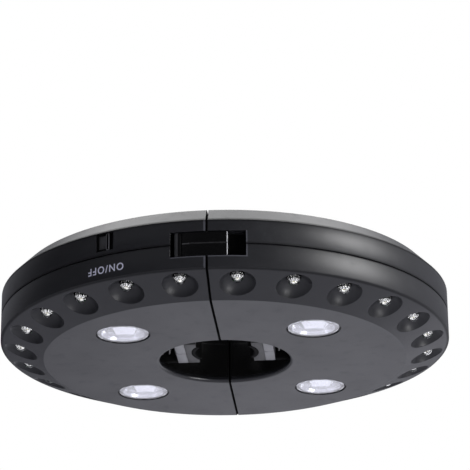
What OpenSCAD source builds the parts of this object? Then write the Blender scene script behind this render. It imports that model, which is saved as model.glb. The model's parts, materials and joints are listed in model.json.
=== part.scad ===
// Patio umbrella light: a disc in two halves that closes round an umbrella pole.
// +Z is up, as the light hangs in use, and z = 0 is the flat lamp face underneath.
// The latch is at -Y, the hinge at +Y, and the halves meet on the plane x = 0.

/* [Disc] */
// Diameter over the rim
disc_d = 200; // [196:1:240]
// Height from the lamp face to the top
disc_h = 36; // [35.5:0.5:44]
// Height of the seam between lower and upper shells
seam_z = 18.15; // [17.5:0.05:18.5]
// Width of the bevel round the top edge
bevel_w = 7.2; // [4:0.1:9]
// Height of the bevel round the top edge
bevel_h = 7.2; // [5:0.1:7.6]
// Thickness of the shells
wall = 2.4; // [1.8:0.1:2.6]
// Thickness of the walls on either side of the split
split_wall = 3; // [2.6:0.1:4]
// Gap between the two halves
split_gap = 0.7; // [0.4:0.1:1.2]
// Width of the sloping LED ring
ring_w = 18.6; // [17:0.1:20]
// Height that the LED ring rises by
ring_rise = 7; // [5:0.1:7.6]
// Small bevel along the seam and the lower rim edge
edge = 0.6; // [0.3:0.1:1]

/* [Pole hole and jaws] */
// Diameter of the pole hole
hole_d = 58; // [54:0.5:70]
// Rounding of the hole's lower rim
hole_round = 1.5; // [0.5:0.1:2]
// Smallest pole that the jaws grip
pole_d = 26; // [24:0.5:32]
// Outward travel of each jaw
jaw_travel = 10; // [6:0.5:12]
// Width of a jaw
jaw_w = 25; // [22:0.5:28]
// Height of a jaw
jaw_h = 11; // [8:0.5:11]
// Height of a jaw's underside
jaw_z = 4.3; // [4.3:0.1:4.6]
// Thickness of the rubber grip pad
pad_t = 2; // [1.5:0.1:3]
// Half of the angle that a pad covers round the pole
pad_angle = 35; // [30:1:38]
// Thickness of the jaw face behind the pad
face_t = 2.5; // [2:0.1:4]
// Thickness of the slider behind the face
slider_t = 4.5; // [3:0.1:6]
// Width of each slider arm
arm_w = 2.9; // [2:0.1:4]
// Length of slider arm held in the guide at rest
arm_hold = 4.6; // [3:0.1:8]
// Wall of the jaw guide
guide_t = 1.4; // [1.2:0.1:1.6]

/* [LED ring] */
// Number of small LEDs
led_count = 24; // [16:4:28]
// Distance of the LED circle from the rim
led_inset = 9.2; // [9:0.1:9.6]
// Diameter of an LED
led_d = 5; // [4:0.5:5]
// Length of an LED without its leads
led_l = 8.6; // [8:0.1:9]
// Height of an LED's tip
led_tip_z = 4.2; // [4:0.1:5]
// Width of an LED's flange beyond its side
led_flange = 0.4; // [0.3:0.1:0.5]
// Diameter of a scoop's mouth
scoop_d = 15.4; // [13:0.1:16]
// Depth of a scoop
scoop_depth = 4.5; // [3.5:0.1:5]
// Thickness of an LED board
board_t = 1.6; // [1:0.1:2]

/* [Large lights] */
// Distance of the large lenses from the centre
spot_r = 58.1; // [56:0.1:62]
// Diameter of a large lens
spot_d = 22.8; // [18:0.1:24]
// Depth of the reflector behind a lens
reflector_h = 7; // [5:0.1:8]

/* [Batteries] */
// Diameter of a cell
cell_d = 14.5; // [13.5:0.1:14.5]
// Length of a cell over its nub
cell_l = 50.5; // [44:0.5:50.5]
// Distance of the battery bay's middle from the centre
bay_x = 60; // [59:0.5:62]
// Thickness of a battery door
door_t = 2.1; // [1.8:0.1:2.4]
// Length of a contact spring
contact_l = 5; // [4:0.5:6]

/* [Latch] */
// Left end of the latch recess, along the rim from the split
latch_left = 15.2; // [14:0.1:18]
// Right end of the latch recess, along the rim from the split
latch_right = 16.2; // [14:0.1:18]
// Right end of the clasp, along the rim from the split
clasp_right = 8.7; // [6:0.1:9]
// Height of the recess's lower edge
latch_z = 12.6; // [12:0.1:13]
// Height of the recess
latch_h = 11; // [9:0.1:12]
// Depth of the recess
latch_depth = 4.6; // [4.2:0.1:4.8]
// Diameter of the clasp's knuckle
clasp_knuckle_d = 4.2; // [3.6:0.1:4.2]
// Diameter of the clasp's pin
clasp_pin_d = 1.8; // [1.4:0.1:2.2]

/* [Switch] */
// Angle of the switch slot's middle from the front
switch_angle = 25.6; // [24:0.1:30]
// Width of the switch slot
slot_w = 8.3; // [7:0.1:10]
// Height of the switch slot's lower edge
slot_z = 20; // [19.5:0.1:20.5]
// Height of the switch slot
slot_h = 8; // [6:0.1:8.2]
// Travel of the switch knob
knob_travel = 2; // [1.5:0.1:3]

/* [Hinge] */
// Distance of the hinge pin from the rim
hinge_inset = 4.5; // [4.4:0.1:5]
// Diameter of the hinge pin
hinge_pin_d = 3; // [2:0.1:4]
// Diameter of the hinge knuckles
knuckle_d = 8.4; // [7:0.1:8.6]
// Thickness of a hinge leaf
leaf_t = 1.2; // [1:0.1:1.4]
// Length of a hinge leaf
leaf_l = 16; // [12:0.5:18]

/* [Hanging hooks] */
// Distance of a hook from the split
hook_x = 18; // [17:0.5:20]
// Distance of a hook's pin from the centre, along the split
hook_y = 64; // [62:0.5:66]
// Length from the pin to the middle of the hook's loop
hook_l = 20; // [16:0.5:22]
// Outer diameter of the hook's loop
loop_d = 13; // [11:0.5:14]
// Width of the hook's strip
hook_w = 3; // [2.4:0.1:3.2]
// Thickness of a hook
hook_t = 3; // [2.4:0.1:3.2]
// Diameter of the hook's pin
hook_pin_d = 1.6; // [1.2:0.1:1.8]

/* [Screws and fits] */
// Diameter of a screw's shank
screw_d = 2.5; // [2:0.1:3]
// Diameter of a screw's head
screw_head_d = 5.2; // [4.5:0.1:5.6]
// Length of a screw under its head
screw_l = 13; // [10:0.5:14]
// Distance of the end screws from the split
end_screw_x = 12; // [10:0.5:14]
// Distance of the end screws from the rim
end_screw_inset = 24; // [22:0.5:26]
// Angle of the rim screws from the split
rim_screw_angle = 57.7; // [54:0.1:62]
// Angle from the split of the screws beside the pole hole
hole_screw_angle = 32.8; // [31:0.1:35]
// Gap between parts that move past each other
gap = 0.3; // [0.2:0.05:0.4]
// Radial clearance of a pin in its bore
fit = 0.05; // [0.02:0.01:0.1]

/* [Hidden] */
$fn = 96;
left = -1;
right = 1;
big = 400;
shell_colour = "#2a2b2d";
gloss_colour = "#151517";
grey_colour = "#6d6f73";
board_colour = "#1f5a38";
steel_colour = "#b9bcc2";
clear_colour = [0.92, 0.94, 0.97, 0.6];

disc_r = disc_d / 2;
hole_r = hole_d / 2;
rim_top_z = disc_h - bevel_h - 0.5;
flat_r = disc_r - edge - ring_w;
slope = atan(ring_rise / ring_w);
collar_r = hole_r + wall;

pad_r = pole_d / 2;
face_r = pad_r + pad_t;
face_x = face_r * cos(pad_angle);
slider_x = face_r + face_t;
slider_back = slider_x + slider_t;
arm_end = collar_r + arm_hold;
guide_back = arm_end + jaw_travel + 1;
guide_half_w = jaw_w / 2 + gap;
guide_floor = jaw_z - gap;
guide_roof = jaw_z + jaw_h + gap;
spring_r = 3.2;
spring_wire = 0.9;
spring_y = 5;
spring_post_r = 2;
spring_post_l = 6;

led_r = disc_r - led_inset;
led_pitch = 360 / led_count;
scoop_r = (pow(scoop_d / 2, 2) + pow(scoop_depth, 2)) / (2 * scoop_depth);
scoop_drop = scoop_r - scoop_depth;
scoop_centre_r = led_r + scoop_drop * sin(slope);
scoop_centre_z = (led_r - flat_r) * tan(slope) - scoop_drop * cos(slope);
cup_t = 1.5;
led_hole_r = led_d / 2 + 0.6;
board_z = led_tip_z + led_l;
board_in_r = led_r - 6.8;
board_out_r = led_r + 2.8;
post_r = 1.5;
post_circle_r = led_r - 4.8;
post_steps = [1, 4, 7, 10];

spot_angles = [45, 135];
lens_face_z = 0.2;
lens_flange_t = 1.4;
lens_flange_r = spot_d / 2 + 1.4;
lens_hole_r = spot_d / 2 + gap;
lens_top_z = wall + lens_flange_t;
emitter_r = 3.2;
emitter_h = 1;
reflector_top_z = lens_top_z + reflector_h;
emitter_board_r = 11;
emitter_board_t = 1.6;

cell_gap = 0.6;
bay_w = 2 * cell_d + 3 * cell_gap;
plate_t = 0.5;
bay_l = cell_l + contact_l + 2 * plate_t;
bay_ledge = 1.5;
bay_t = 1.5;
door_w = bay_w + 2 * bay_ledge;
door_l = bay_l + 2 * bay_ledge;
door_z = disc_h - door_t;
cell_z = door_z - gap - cell_d / 2;
bay_floor = cell_z - cell_d / 2 - 0.2;
door_pin_x = bay_x + door_w / 2 - door_t / 2;
door_pin_r = 0.8;
door_pin_l = 1.5;
thumb_r = 6;
contact_wire = 0.8;

latch_floor_r = disc_r - latch_depth;
clasp_out_r = disc_r - gap;
clasp_in_r = latch_floor_r + gap;
clasp_pin_r = clasp_in_r + clasp_knuckle_d / 2;
clasp_left = latch_left - 1.1;
clasp_pin_angle = -rim_angle(clasp_left - clasp_knuckle_d / 2);
latch_block_t = 1.4;
latch_ledge = 2.2;
latch_pin_end = 1.2;

knob_gap = 0.2;
knob_w = slot_w - knob_travel - 2 * knob_gap;
knob_h = slot_h - 2 * gap;
knob_out_y = disc_r - 0.4;
knob_plate_y = disc_r - wall - 0.6;
switch_front_y = disc_r - 6;
switch_w = 19;
switch_d = 5.5;
switch_rib_t = 1.5;
stem_w = 4;
plate_w = slot_w + 2;
plate_lap = 0.5;

hinge_y = disc_r - hinge_inset;
notch_r = knuckle_d / 2 + 1.4;
notch_t = 1.5;
hinge_low = ring_rise + 0.6;
hinge_high = rim_top_z - gap;
knuckle_h = (hinge_high - hinge_low - 2 * gap) / 3;
leaf_low = hinge_low + 3.4;

hook_slot_w = loop_d + 1.6;
hook_z = disc_h - gap - hook_t / 2;
hook_floor = hook_z - hook_t / 2 - gap;
hook_end = hook_l + loop_d / 2;
hook_block_t = 1.6;

boss_r = screw_d / 2 + 2.1;
rim_screw_r = board_in_r - boss_r - 0.2;
hole_screw_r = collar_r + boss_r + 2.15;
screw_places = [
    for (s = [-1, 1]) each [
        [end_screw_x, s * (disc_r - end_screw_inset)],
        [rim_screw_r * sin(rim_screw_angle), s * rim_screw_r * cos(rim_screw_angle)],
        [hole_screw_r * sin(hole_screw_angle), s * hole_screw_r * cos(hole_screw_angle)]
    ]
];
screw_seat = seam_z + 6;
screw_head_h = 1.8;

wire_r = 0.6;
wire_bend = 5.5;
wire_step = 1.8;
wire_y = board_in_r + 2;

// Angle round the rim of a distance along it
function rim_angle(s) = s / disc_r * 180 / PI;
// Points along an arc, from one angle to another
function arc(c, r, from, to, steps) =
    [for (i = [0:steps]) let (a = from + (to - from) * i / steps) c + r * [cos(a), sin(a)]];
// Length of a vector made one
function unit(v) = v / norm(v);
// Height of the foot of hinge knuckle i, counted from below
function knuckle_z(i) = hinge_low + i * (knuckle_h + gap);
// Direction of a path at point i
function along(path, i) = unit(path[min(i + 1, len(path) - 1)] - path[max(i - 1, 0)]);
// A direction square to d, kept near the given one
function off_axis(d, near) = unit(near - (near * d) * d);

// A round wire of radius r along a path of points; near is any direction off the path
module tube(path, r, near, sides = 8) {
    points = [
        for (i = [0:len(path) - 1])
            let (d = along(path, i), u = off_axis(d, near), v = cross(d, u))
                for (k = [0:sides - 1]) path[i] + r * (cos(360 * k / sides) * u + sin(360 * k / sides) * v)
    ];
    rings = len(path);
    walls = [
        for (i = [0:rings - 2], k = [0:sides - 1])
            let (a = i * sides + k, b = i * sides + (k + 1) % sides)
                each [[a, b, b + sides], [a, b + sides, a + sides]]
    ];
    first = [for (k = [0:sides - 1]) sides - 1 - k];
    last = [for (k = [0:sides - 1]) (rings - 1) * sides + k];
    polyhedron(points = points, faces = concat([first], walls, [last]));
}

// A coil spring along +Z, from radius r0 to r1, whose wire ends lie on z = 0 and z = l
module coil(r0, r1, l, wire, turns) {
    steps = 10;
    path = [
        for (i = [0:turns * steps])
            let (t = i / (turns * steps), a = 360 * i / steps, r = r0 + (r1 - r0) * t)
                [r * cos(a), r * sin(a), wire / 2 + (l - wire) * t]
    ];
    tube(path, wire / 2, [0, 0, 1]);
}

// Each half is drawn on the left, at x < 0, and mirrored to the right
module at_side(side) {
    mirror([side > 0 ? 1 : 0, 0, 0]) children();
}

// Everything to the left of the split
module left_half() {
    translate([-big - split_gap / 2, -big / 2, -big / 2]) cube(big);
}

// A place on the rim: local x runs along the rim and local -y points outward
module at_angle(a) {
    rotate([0, 0, a]) children();
}

// Repeats a child at every LED of one half
module at_leds() {
    for (k = [0:led_count / 2 - 1]) at_angle(-led_pitch * (k + 0.5)) translate([0, -led_r, 0]) children();
}

// Repeats a child at every large light of one half
module at_spots() {
    for (a = spot_angles) at_angle(-a) translate([0, -spot_r, 0]) children();
}

// Repeats a child at every screw of one half
module at_screws() {
    for (p = screw_places) translate([-p[0], p[1], 0]) children();
}

// A ring sector between two angles from the front
module sector(r0, r1, z0, z1, a0, a1) {
    rotate([0, 0, a0 - 90])
        rotate_extrude(angle = a1 - a0)
            translate([r0, z0]) square([r1 - r0, z1 - z0]);
}

// The recess that the clasp lies in
module latch_space(side) {
    ends = [-rim_angle(latch_left), rim_angle(latch_right)];
    sector(
        latch_floor_r, disc_r + 5, latch_z, latch_z + latch_h,
        side < 0 ? ends[0] : -ends[1], side < 0 ? ends[1] : -ends[0]
    );
}

// The block that the recess is cut in
module latch_block(side) {
    reach = rim_angle(max(latch_left, latch_right) + latch_block_t);
    sector(
        latch_floor_r - latch_block_t, disc_r - wall / 2,
        latch_z - latch_ledge, latch_z + latch_h + latch_ledge, -reach, reach
    );
}

// Places a child at the clasp's pin
module at_clasp_pin() {
    at_angle(clasp_pin_angle) translate([0, -clasp_pin_r, 0]) children();
}

// Bore in the shells for the clasp's pin
module clasp_pin_hole() {
    at_clasp_pin() translate([0, 0, latch_z - latch_pin_end - gap])
        cylinder(r = clasp_pin_d / 2 + fit, h = latch_h + 2 * (latch_pin_end + gap));
}

// Room round the hinge barrel, or the wall of that room when grow is above zero
module hinge_space(grow) {
    translate([0, hinge_y, -1]) cylinder(r = notch_r + grow, h = disc_h + 2);
}

// Recess for a hinge leaf in the split wall
module leaf_space() {
    translate([-split_gap / 2 - leaf_t, hinge_y - leaf_l - gap, leaf_low - gap])
        cube([big, leaf_l + gap, hinge_high - leaf_low + 2 * gap]);
}

// Slot in the split wall for the link wires
module wire_slot() {
    depth = split_wall + split_gap;
    translate([-depth, wire_y - wire_step, board_z - wire_bend - wire_r - gap])
        cube([2 * depth, 2 * wire_step, 5 * wire_r + gap]);
}

module lower_outline() {
    polygon(concat(
        [[flat_r, 0], [disc_r - edge, ring_rise], [disc_r, ring_rise + edge]],
        [[disc_r, seam_z - edge], [disc_r - edge, seam_z], [hole_r, seam_z]],
        arc([hole_r + hole_round, hole_round], hole_round, 180, 270, 6)
    ));
}

module lower_cavity_outline() {
    start_r = flat_r - wall * tan(slope / 2);
    end_r = disc_r - wall;
    polygon([
        [collar_r, wall], [start_r, wall], [end_r, wall + (end_r - start_r) * tan(slope)],
        [end_r, disc_h], [collar_r, disc_h]
    ]);
}

module upper_outline() {
    polygon([
        [hole_r, seam_z], [disc_r, seam_z], [disc_r, rim_top_z],
        [disc_r - bevel_w, rim_top_z + bevel_h], [disc_r - bevel_w - 2, disc_h],
        [hole_r + edge, disc_h], [hole_r, disc_h - edge]
    ]);
}

module upper_cavity_outline() {
    polygon([
        [collar_r, 0], [disc_r - wall, 0], [disc_r - wall, rim_top_z - wall / 2],
        [disc_r - bevel_w - wall / 2, disc_h - wall], [collar_r, disc_h - wall]
    ]);
}

// The hollow of the left half, inside its split wall
module hollow() {
    intersection() {
        rotate_extrude() children();
        translate([-split_wall, 0, 0]) left_half();
    }
}

// A ball round the middle of an LED's scoop
module scoop_ball(r) {
    translate([0, led_r - scoop_centre_r, scoop_centre_z]) sphere(r = r);
}

// One lower shell: lamp face, LED ring and lower rim
module lower_shell(side) {
    color(shell_colour)
    at_side(side)
    difference() {
        intersection() {
            union() {
                difference() {
                    rotate_extrude() lower_outline();
                    hollow() lower_cavity_outline();
                }
                at_leds() scoop_ball(scoop_r + cup_t);
                at_screws() cylinder(r = boss_r, h = seam_z);
                at_spots() cylinder(r = lens_flange_r + 1.5, h = lens_top_z + 2);
                for (k = post_steps) at_angle(-led_pitch * k)
                    translate([0, -post_circle_r, wall]) cylinder(r = post_r, h = board_z - wall);
                latch_block(side);
                hinge_space(notch_t);
            }
            rotate_extrude() lower_outline();
            left_half();
        }
        at_leds() scoop_ball(scoop_r);
        at_leds() cylinder(r = led_hole_r, h = board_z - 1);
        at_screws() translate([0, 0, screw_seat - screw_l - 1]) cylinder(r = screw_d / 2 + fit, h = big);
        at_spots() translate([0, 0, -1]) cylinder(r = lens_hole_r, h = wall + 2);
        at_spots() translate([0, 0, wall]) cylinder(r = lens_flange_r + gap, h = big);
        jaw_window();
        latch_space(side);
        if (side == left) clasp_pin_hole();
        hinge_space(0);
        leaf_space();
        wire_slot();
    }
}

// Window in the collar that a jaw slides through
module jaw_window() {
    translate([-collar_r - 1, -guide_half_w, guide_floor])
        cube([collar_r - hole_r / 2, 2 * guide_half_w, guide_roof - guide_floor]);
}

// One upper shell: upper rim, top, battery bay and hook recess
module upper_shell(side) {
    color(shell_colour)
    at_side(side)
    difference() {
        intersection() {
            union() {
                difference() {
                    rotate_extrude() upper_outline();
                    hollow() upper_cavity_outline();
                }
                at_screws() translate([0, 0, seam_z]) cylinder(r = boss_r + 1, h = disc_h - seam_z);
                bay_block();
                hook_block(side);
                latch_block(side);
                hinge_space(notch_t);
                if (side == left) switch_ribs();
            }
            rotate_extrude() upper_outline();
            left_half();
        }
        at_screws() cylinder(r = screw_d / 2 + gap, h = big);
        at_screws() translate([0, 0, screw_seat]) cylinder(r = screw_head_d / 2 + gap, h = big);
        bay_space();
        hook_space(side);
        latch_space(side);
        if (side == left) clasp_pin_hole();
        hinge_space(0);
        leaf_space();
        if (side == left) switch_slot();
    }
}

// A box centred on the battery bay in x and y
module bay_box(w, l, z0, z1) {
    translate([-bay_x - w / 2, -l / 2, z0]) cube([w, l, z1 - z0]);
}

module bay_block() {
    extra = 2 * (gap + bay_t);
    bay_box(door_w + extra, door_l + extra, bay_floor - bay_t, disc_h);
}

// Places a child on a battery door's pin, with local z along the pin
module at_door_pin() {
    translate([-door_pin_x, 0, disc_h - door_t / 2]) rotate([90, 0, 0]) children();
}

module bay_space() {
    bay_box(bay_w, bay_l, bay_floor, disc_h);
    bay_box(door_w + 2 * gap, door_l + 2 * gap, door_z - gap, disc_h + 1);
    at_door_pin() cylinder(r = door_pin_r + fit, h = door_l + 2 * (door_pin_l + gap), center = true);
    translate([door_w / 2 + gap - bay_x, 0, disc_h + thumb_r / 2]) sphere(r = thumb_r);
}

// Places a child at a hook's pin, with local +y along the folded hook
module at_hook(side) {
    mirror([0, side > 0 ? 1 : 0, 0]) translate([-hook_x, -hook_y, hook_z]) children();
}

// The block that a hook's recess is cut in
module hook_block(side) {
    width = hook_slot_w + 2 * hook_block_t;
    at_hook(side)
        translate([-width / 2, -hook_t - hook_block_t, hook_floor - hook_block_t - hook_z])
            cube([width, hook_end + hook_t + 3 * hook_block_t, big]);
}

// The recess that a hook folds into, with the bores for its pin
module hook_space(side) {
    at_hook(side) {
        translate([-hook_slot_w / 2, -hook_t, hook_floor - hook_z])
            cube([hook_slot_w, hook_end + hook_t + hook_block_t, big]);
        rotate([0, 90, 0])
            cylinder(r = hook_pin_d / 2 + fit, h = hook_slot_w + 2 * hook_block_t, center = true);
    }
}

// Ribs that hold the switch body between them
module switch_ribs() {
    depth = disc_r - wall / 2 - switch_front_y + switch_d;
    for (s = [-1, 1]) at_angle(-switch_angle)
        translate([s * (switch_w + switch_rib_t) / 2 - switch_rib_t / 2, wall / 2 - disc_r, seam_z])
            cube([switch_rib_t, depth, slot_h + 4]);
}

// Slot for the switch knob, with room behind it for the knob's plate
module switch_slot() {
    at_angle(-switch_angle) {
        translate([-slot_w / 2, -disc_r - 1, slot_z]) cube([slot_w, 2 * wall + 1, slot_h]);
        translate([-(plate_w + knob_travel) / 2 - gap, -knob_plate_y - gap, slot_z - plate_lap - gap])
            cube([plate_w + knob_travel + 2 * gap, 2 * wall, slot_h + 2 * (plate_lap + gap)]);
    }
}

module led_board(side) {
    color(board_colour)
    at_side(side)
    intersection() {
        difference() {
            translate([0, 0, board_z]) cylinder(r = board_out_r, h = board_t);
            cylinder(r = board_in_r, h = disc_h);
            hinge_space(notch_t + gap);
        }
        translate([-split_wall - gap, 0, 0]) left_half();
    }
}

// The small LEDs of one half, lens down
module leds(side) {
    r = led_d / 2;
    color(clear_colour)
    at_side(side)
    at_leds() translate([0, 0, led_tip_z]) rotate_extrude()
        polygon(concat(
            arc([0, r], r, -90, 0, 8),
            [[r, led_l - 1], [r + led_flange, led_l - 1], [r + led_flange, led_l], [0, led_l]]
        ));
}

module lenses(side) {
    color(clear_colour)
    at_side(side)
    at_spots() {
        translate([0, 0, lens_face_z]) cylinder(d = spot_d, h = wall - lens_face_z);
        translate([0, 0, wall]) cylinder(r = lens_flange_r, h = lens_flange_t);
    }
}

module reflectors(side) {
    color(steel_colour)
    at_side(side)
    at_spots() translate([0, 0, lens_top_z]) rotate_extrude()
        polygon([
            [lens_flange_r - 1.2, 0], [lens_flange_r, 0], [emitter_board_r - 4, reflector_h],
            [emitter_r + gap, reflector_h]
        ]);
}

module emitters(side) {
    color("#e8d98a")
    at_side(side)
    at_spots() translate([0, 0, reflector_top_z - emitter_h]) cylinder(r = emitter_r, h = emitter_h);
}

module emitter_boards(side) {
    color(board_colour)
    at_side(side)
    at_spots() translate([0, 0, reflector_top_z]) cylinder(r = emitter_board_r, h = emitter_board_t);
}

// Repeats a child at both cells of one half, turned so that neighbours face opposite ways
module at_cells() {
    for (s = [-1, 1]) translate([s * (cell_d + cell_gap) / 2 - bay_x, 0, cell_z])
        rotate([0, 0, s < 0 ? 0 : 180])
            translate([0, plate_t - bay_l / 2, 0]) rotate([-90, 0, 0]) children();
}

module cells(side) {
    nub = 1.5;
    color("#3b5f9a")
    at_side(side)
    at_cells() translate([0, 0, contact_l]) {
        cylinder(d = cell_d, h = cell_l - nub);
        translate([0, 0, cell_l - nub]) cylinder(d = cell_d * 0.38, h = nub);
    }
}

module contact_springs(side) {
    color(steel_colour)
    at_side(side)
    at_cells() coil(4.4, 2.6, contact_l, contact_wire, 4);
}

module contact_plates(side) {
    color(steel_colour)
    at_side(side)
    for (s = [-1, 1]) translate([-bay_x, s * (bay_l - plate_t) / 2, bay_floor + cell_d / 2])
        cube([bay_w - 1, plate_t, cell_d], center = true);
}

module battery_door(side) {
    color(shell_colour)
    at_side(side)
    difference() {
        union() {
            translate([door_t / 4 - bay_x, 0, disc_h - door_t / 2])
                cube([door_w - door_t / 2, door_l, door_t], center = true);
            at_door_pin() {
                cylinder(d = door_t, h = door_l, center = true);
                cylinder(r = door_pin_r, h = door_l + 2 * door_pin_l, center = true);
            }
        }
        for (i = [-2:2]) translate([door_w / 2 - 8 - bay_x, 3 * i, disc_h])
            rotate([0, 90, 0]) cylinder(r = 0.7, h = 9, center = true);
    }
}

// Places a child at each spring of a jaw, on the guide's back wall, with local z toward the jaw
module at_jaw_springs() {
    for (s = [-1, 1]) translate([-guide_back, s * spring_y, jaw_z + jaw_h / 2])
        rotate([0, 90, 0]) children();
}

// Channel that a jaw slides in, with the posts that hold its springs
module jaw_guide(side) {
    out_w = 2 * (guide_half_w + guide_t);
    color(gloss_colour)
    at_side(side)
    difference() {
        union() {
            difference() {
                translate([-guide_back - guide_t, -out_w / 2, wall])
                    cube([guide_back + guide_t, out_w, guide_roof + guide_t - wall]);
                translate([-guide_back, -guide_half_w, guide_floor])
                    cube([guide_back + 1, 2 * guide_half_w, guide_roof - guide_floor]);
            }
            at_jaw_springs() cylinder(r = spring_post_r, h = spring_post_l);
        }
        translate([0, 0, -1]) cylinder(r = collar_r + gap, h = big);
    }
}

// Grey slider behind a jaw's face, with an arm along each side of its guide
module jaw_slider(side) {
    groove = 0.5;
    color(grey_colour)
    at_side(side)
    difference() {
        translate([-arm_end, -jaw_w / 2, jaw_z]) cube([arm_end - slider_x, jaw_w, jaw_h]);
        translate([-big - slider_back, arm_w - jaw_w / 2, jaw_z - 1])
            cube([big, jaw_w - 2 * arm_w, jaw_h + 2]);
        translate([-slider_x - slider_t / 2, 0, jaw_z])
            cube([slider_t + 1, groove, 2 * groove], center = true);
    }
}

module jaw_face(side) {
    color(gloss_colour)
    at_side(side)
    difference() {
        translate([-slider_x, -jaw_w / 2, jaw_z]) cube([slider_x - face_x, jaw_w, jaw_h]);
        translate([0, 0, jaw_z - 1]) cylinder(r = face_r, h = jaw_h + 2);
    }
}

module grip_pad(side) {
    color("#101011")
    at_side(side)
    sector(pad_r, face_r, jaw_z, jaw_z + jaw_h, -90 - pad_angle, -90 + pad_angle);
}

module jaw_springs(side) {
    color(steel_colour)
    at_side(side)
    at_jaw_springs() coil(spring_r, spring_r, guide_back - slider_back, spring_wire, 8);
}

module case_screws(side) {
    color(steel_colour)
    at_side(side)
    at_screws() {
        translate([0, 0, screw_seat - screw_l]) cylinder(d = screw_d, h = screw_l);
        translate([0, 0, screw_seat]) difference() {
            cylinder(d = screw_head_d, h = screw_head_h);
            for (a = [0, 90]) rotate([0, 0, a]) translate([0, 0, screw_head_h])
                cube([screw_head_d * 0.6, 0.8, screw_head_h], center = true);
        }
    }
}

// A hinge leaf in its split wall, with its knuckles
module hinge_leaf(side) {
    own = side == left ? [0, 2] : [1];
    other = side == left ? [1] : [0, 2];
    color(steel_colour)
    at_side(side)
    difference() {
        union() {
            for (i = own) translate([0, hinge_y, knuckle_z(i)]) cylinder(d = knuckle_d, h = knuckle_h);
            translate([-split_gap / 2 - leaf_t, hinge_y - leaf_l, leaf_low])
                cube([leaf_t, leaf_l - hinge_pin_d, hinge_high - leaf_low]);
        }
        for (i = other) translate([0, hinge_y, knuckle_z(i) - gap])
            cylinder(d = knuckle_d + 2 * gap, h = knuckle_h + 2 * gap);
        translate([0, hinge_y, 0]) cylinder(r = hinge_pin_d / 2 + fit, h = disc_h);
    }
}

module hinge_pin() {
    color(steel_colour)
    translate([0, hinge_y, hinge_low]) cylinder(d = hinge_pin_d, h = hinge_high - hinge_low);
}

// Two wires that bend down from one LED board and up to the other, across the split
module link_wires() {
    color("#8e1f1f")
    for (s = [-1, 1]) translate([0, wire_y + s * wire_step / 2, board_z])
        rotate([90, 0, 0]) rotate([0, 0, 180])
            rotate_extrude(angle = 180) translate([wire_bend, 0]) circle(r = wire_r);
}

// The clasp that holds the halves shut
module latch_clasp() {
    height = latch_h - 2 * gap;
    groove = 0.4;
    color(gloss_colour)
    difference() {
        union() {
            sector(
                clasp_in_r, clasp_out_r, latch_z + gap, latch_z + gap + height,
                clasp_pin_angle, rim_angle(clasp_right)
            );
            at_clasp_pin() translate([0, 0, latch_z + gap]) cylinder(d = clasp_knuckle_d, h = height);
        }
        at_clasp_pin() translate([0, 0, latch_z]) cylinder(r = clasp_pin_d / 2 + fit, h = latch_h);
        sector(
            clasp_out_r - groove, disc_r + 1, seam_z, seam_z + groove,
            clasp_pin_angle + 3, rim_angle(clasp_right) + 1
        );
    }
}

module latch_pin() {
    color(steel_colour)
    at_clasp_pin() translate([0, 0, latch_z - latch_pin_end])
        cylinder(d = clasp_pin_d, h = latch_h + 2 * latch_pin_end);
}

module switch_body() {
    color("#1b1b1d")
    at_angle(-switch_angle) difference() {
        translate([-switch_w / 2, -switch_front_y, slot_z]) cube([switch_w, switch_d, slot_h]);
        translate([-stem_w / 2 - knob_travel, -switch_front_y - 1, slot_z + slot_h / 2 - stem_w / 2 - gap])
            cube([stem_w + 2 * knob_travel, 3, stem_w + 2 * gap]);
    }
}

// The ribbed knob, with the plate behind the slot and the stem that moves the switch
module switch_knob() {
    knob_left = knob_gap - slot_w / 2;
    ribs = 3;
    groove_w = 0.6;
    color(gloss_colour)
    at_angle(-switch_angle) difference() {
        union() {
            translate([knob_left, -knob_out_y, slot_z + gap])
                cube([knob_w, knob_out_y - knob_plate_y + 0.5, knob_h]);
            translate([-plate_w / 2 - knob_travel / 2, -knob_plate_y, slot_z - plate_lap])
                cube([plate_w, 1, slot_h + 2 * plate_lap]);
            translate([-stem_w / 2 - knob_travel / 2, -knob_plate_y, slot_z + slot_h / 2 - stem_w / 2])
                cube([stem_w, knob_plate_y - switch_front_y + 1.5, stem_w]);
        }
        for (i = [1:ribs])
            translate([knob_left + knob_w * i / (ribs + 1) - groove_w / 2, -knob_out_y - 1, slot_z - 1])
                cube([groove_w, 1.5, slot_h + 2]);
    }
}

// A flat hook that folds into the top, lying along +y from its pin
module hook(side) {
    color(shell_colour)
    at_side(side) at_hook(side) difference() {
        union() {
            rotate([0, 90, 0]) cylinder(d = hook_t, h = hook_slot_w - 2 * gap, center = true);
            translate([-hook_w / 2, 0, -hook_t / 2])
                cube([hook_w, hook_l - loop_d / 2 + hook_w / 2, hook_t]);
            translate([0, hook_l, 0]) cylinder(d = loop_d, h = hook_t, center = true);
        }
        translate([0, hook_l, 0]) cylinder(d = loop_d - 2 * hook_w, h = hook_t + 1, center = true);
        translate([0, hook_l - loop_d / 2, -hook_t]) cube([loop_d, loop_d / 2, 2 * hook_t]);
        rotate([0, 90, 0]) cylinder(r = hook_pin_d / 2 + fit, h = hook_slot_w, center = true);
    }
}

module hook_pin(side) {
    color(steel_colour)
    at_side(side) at_hook(side) rotate([0, 90, 0])
        cylinder(d = hook_pin_d, h = hook_slot_w + 2 * (hook_block_t - gap), center = true);
}

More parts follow.
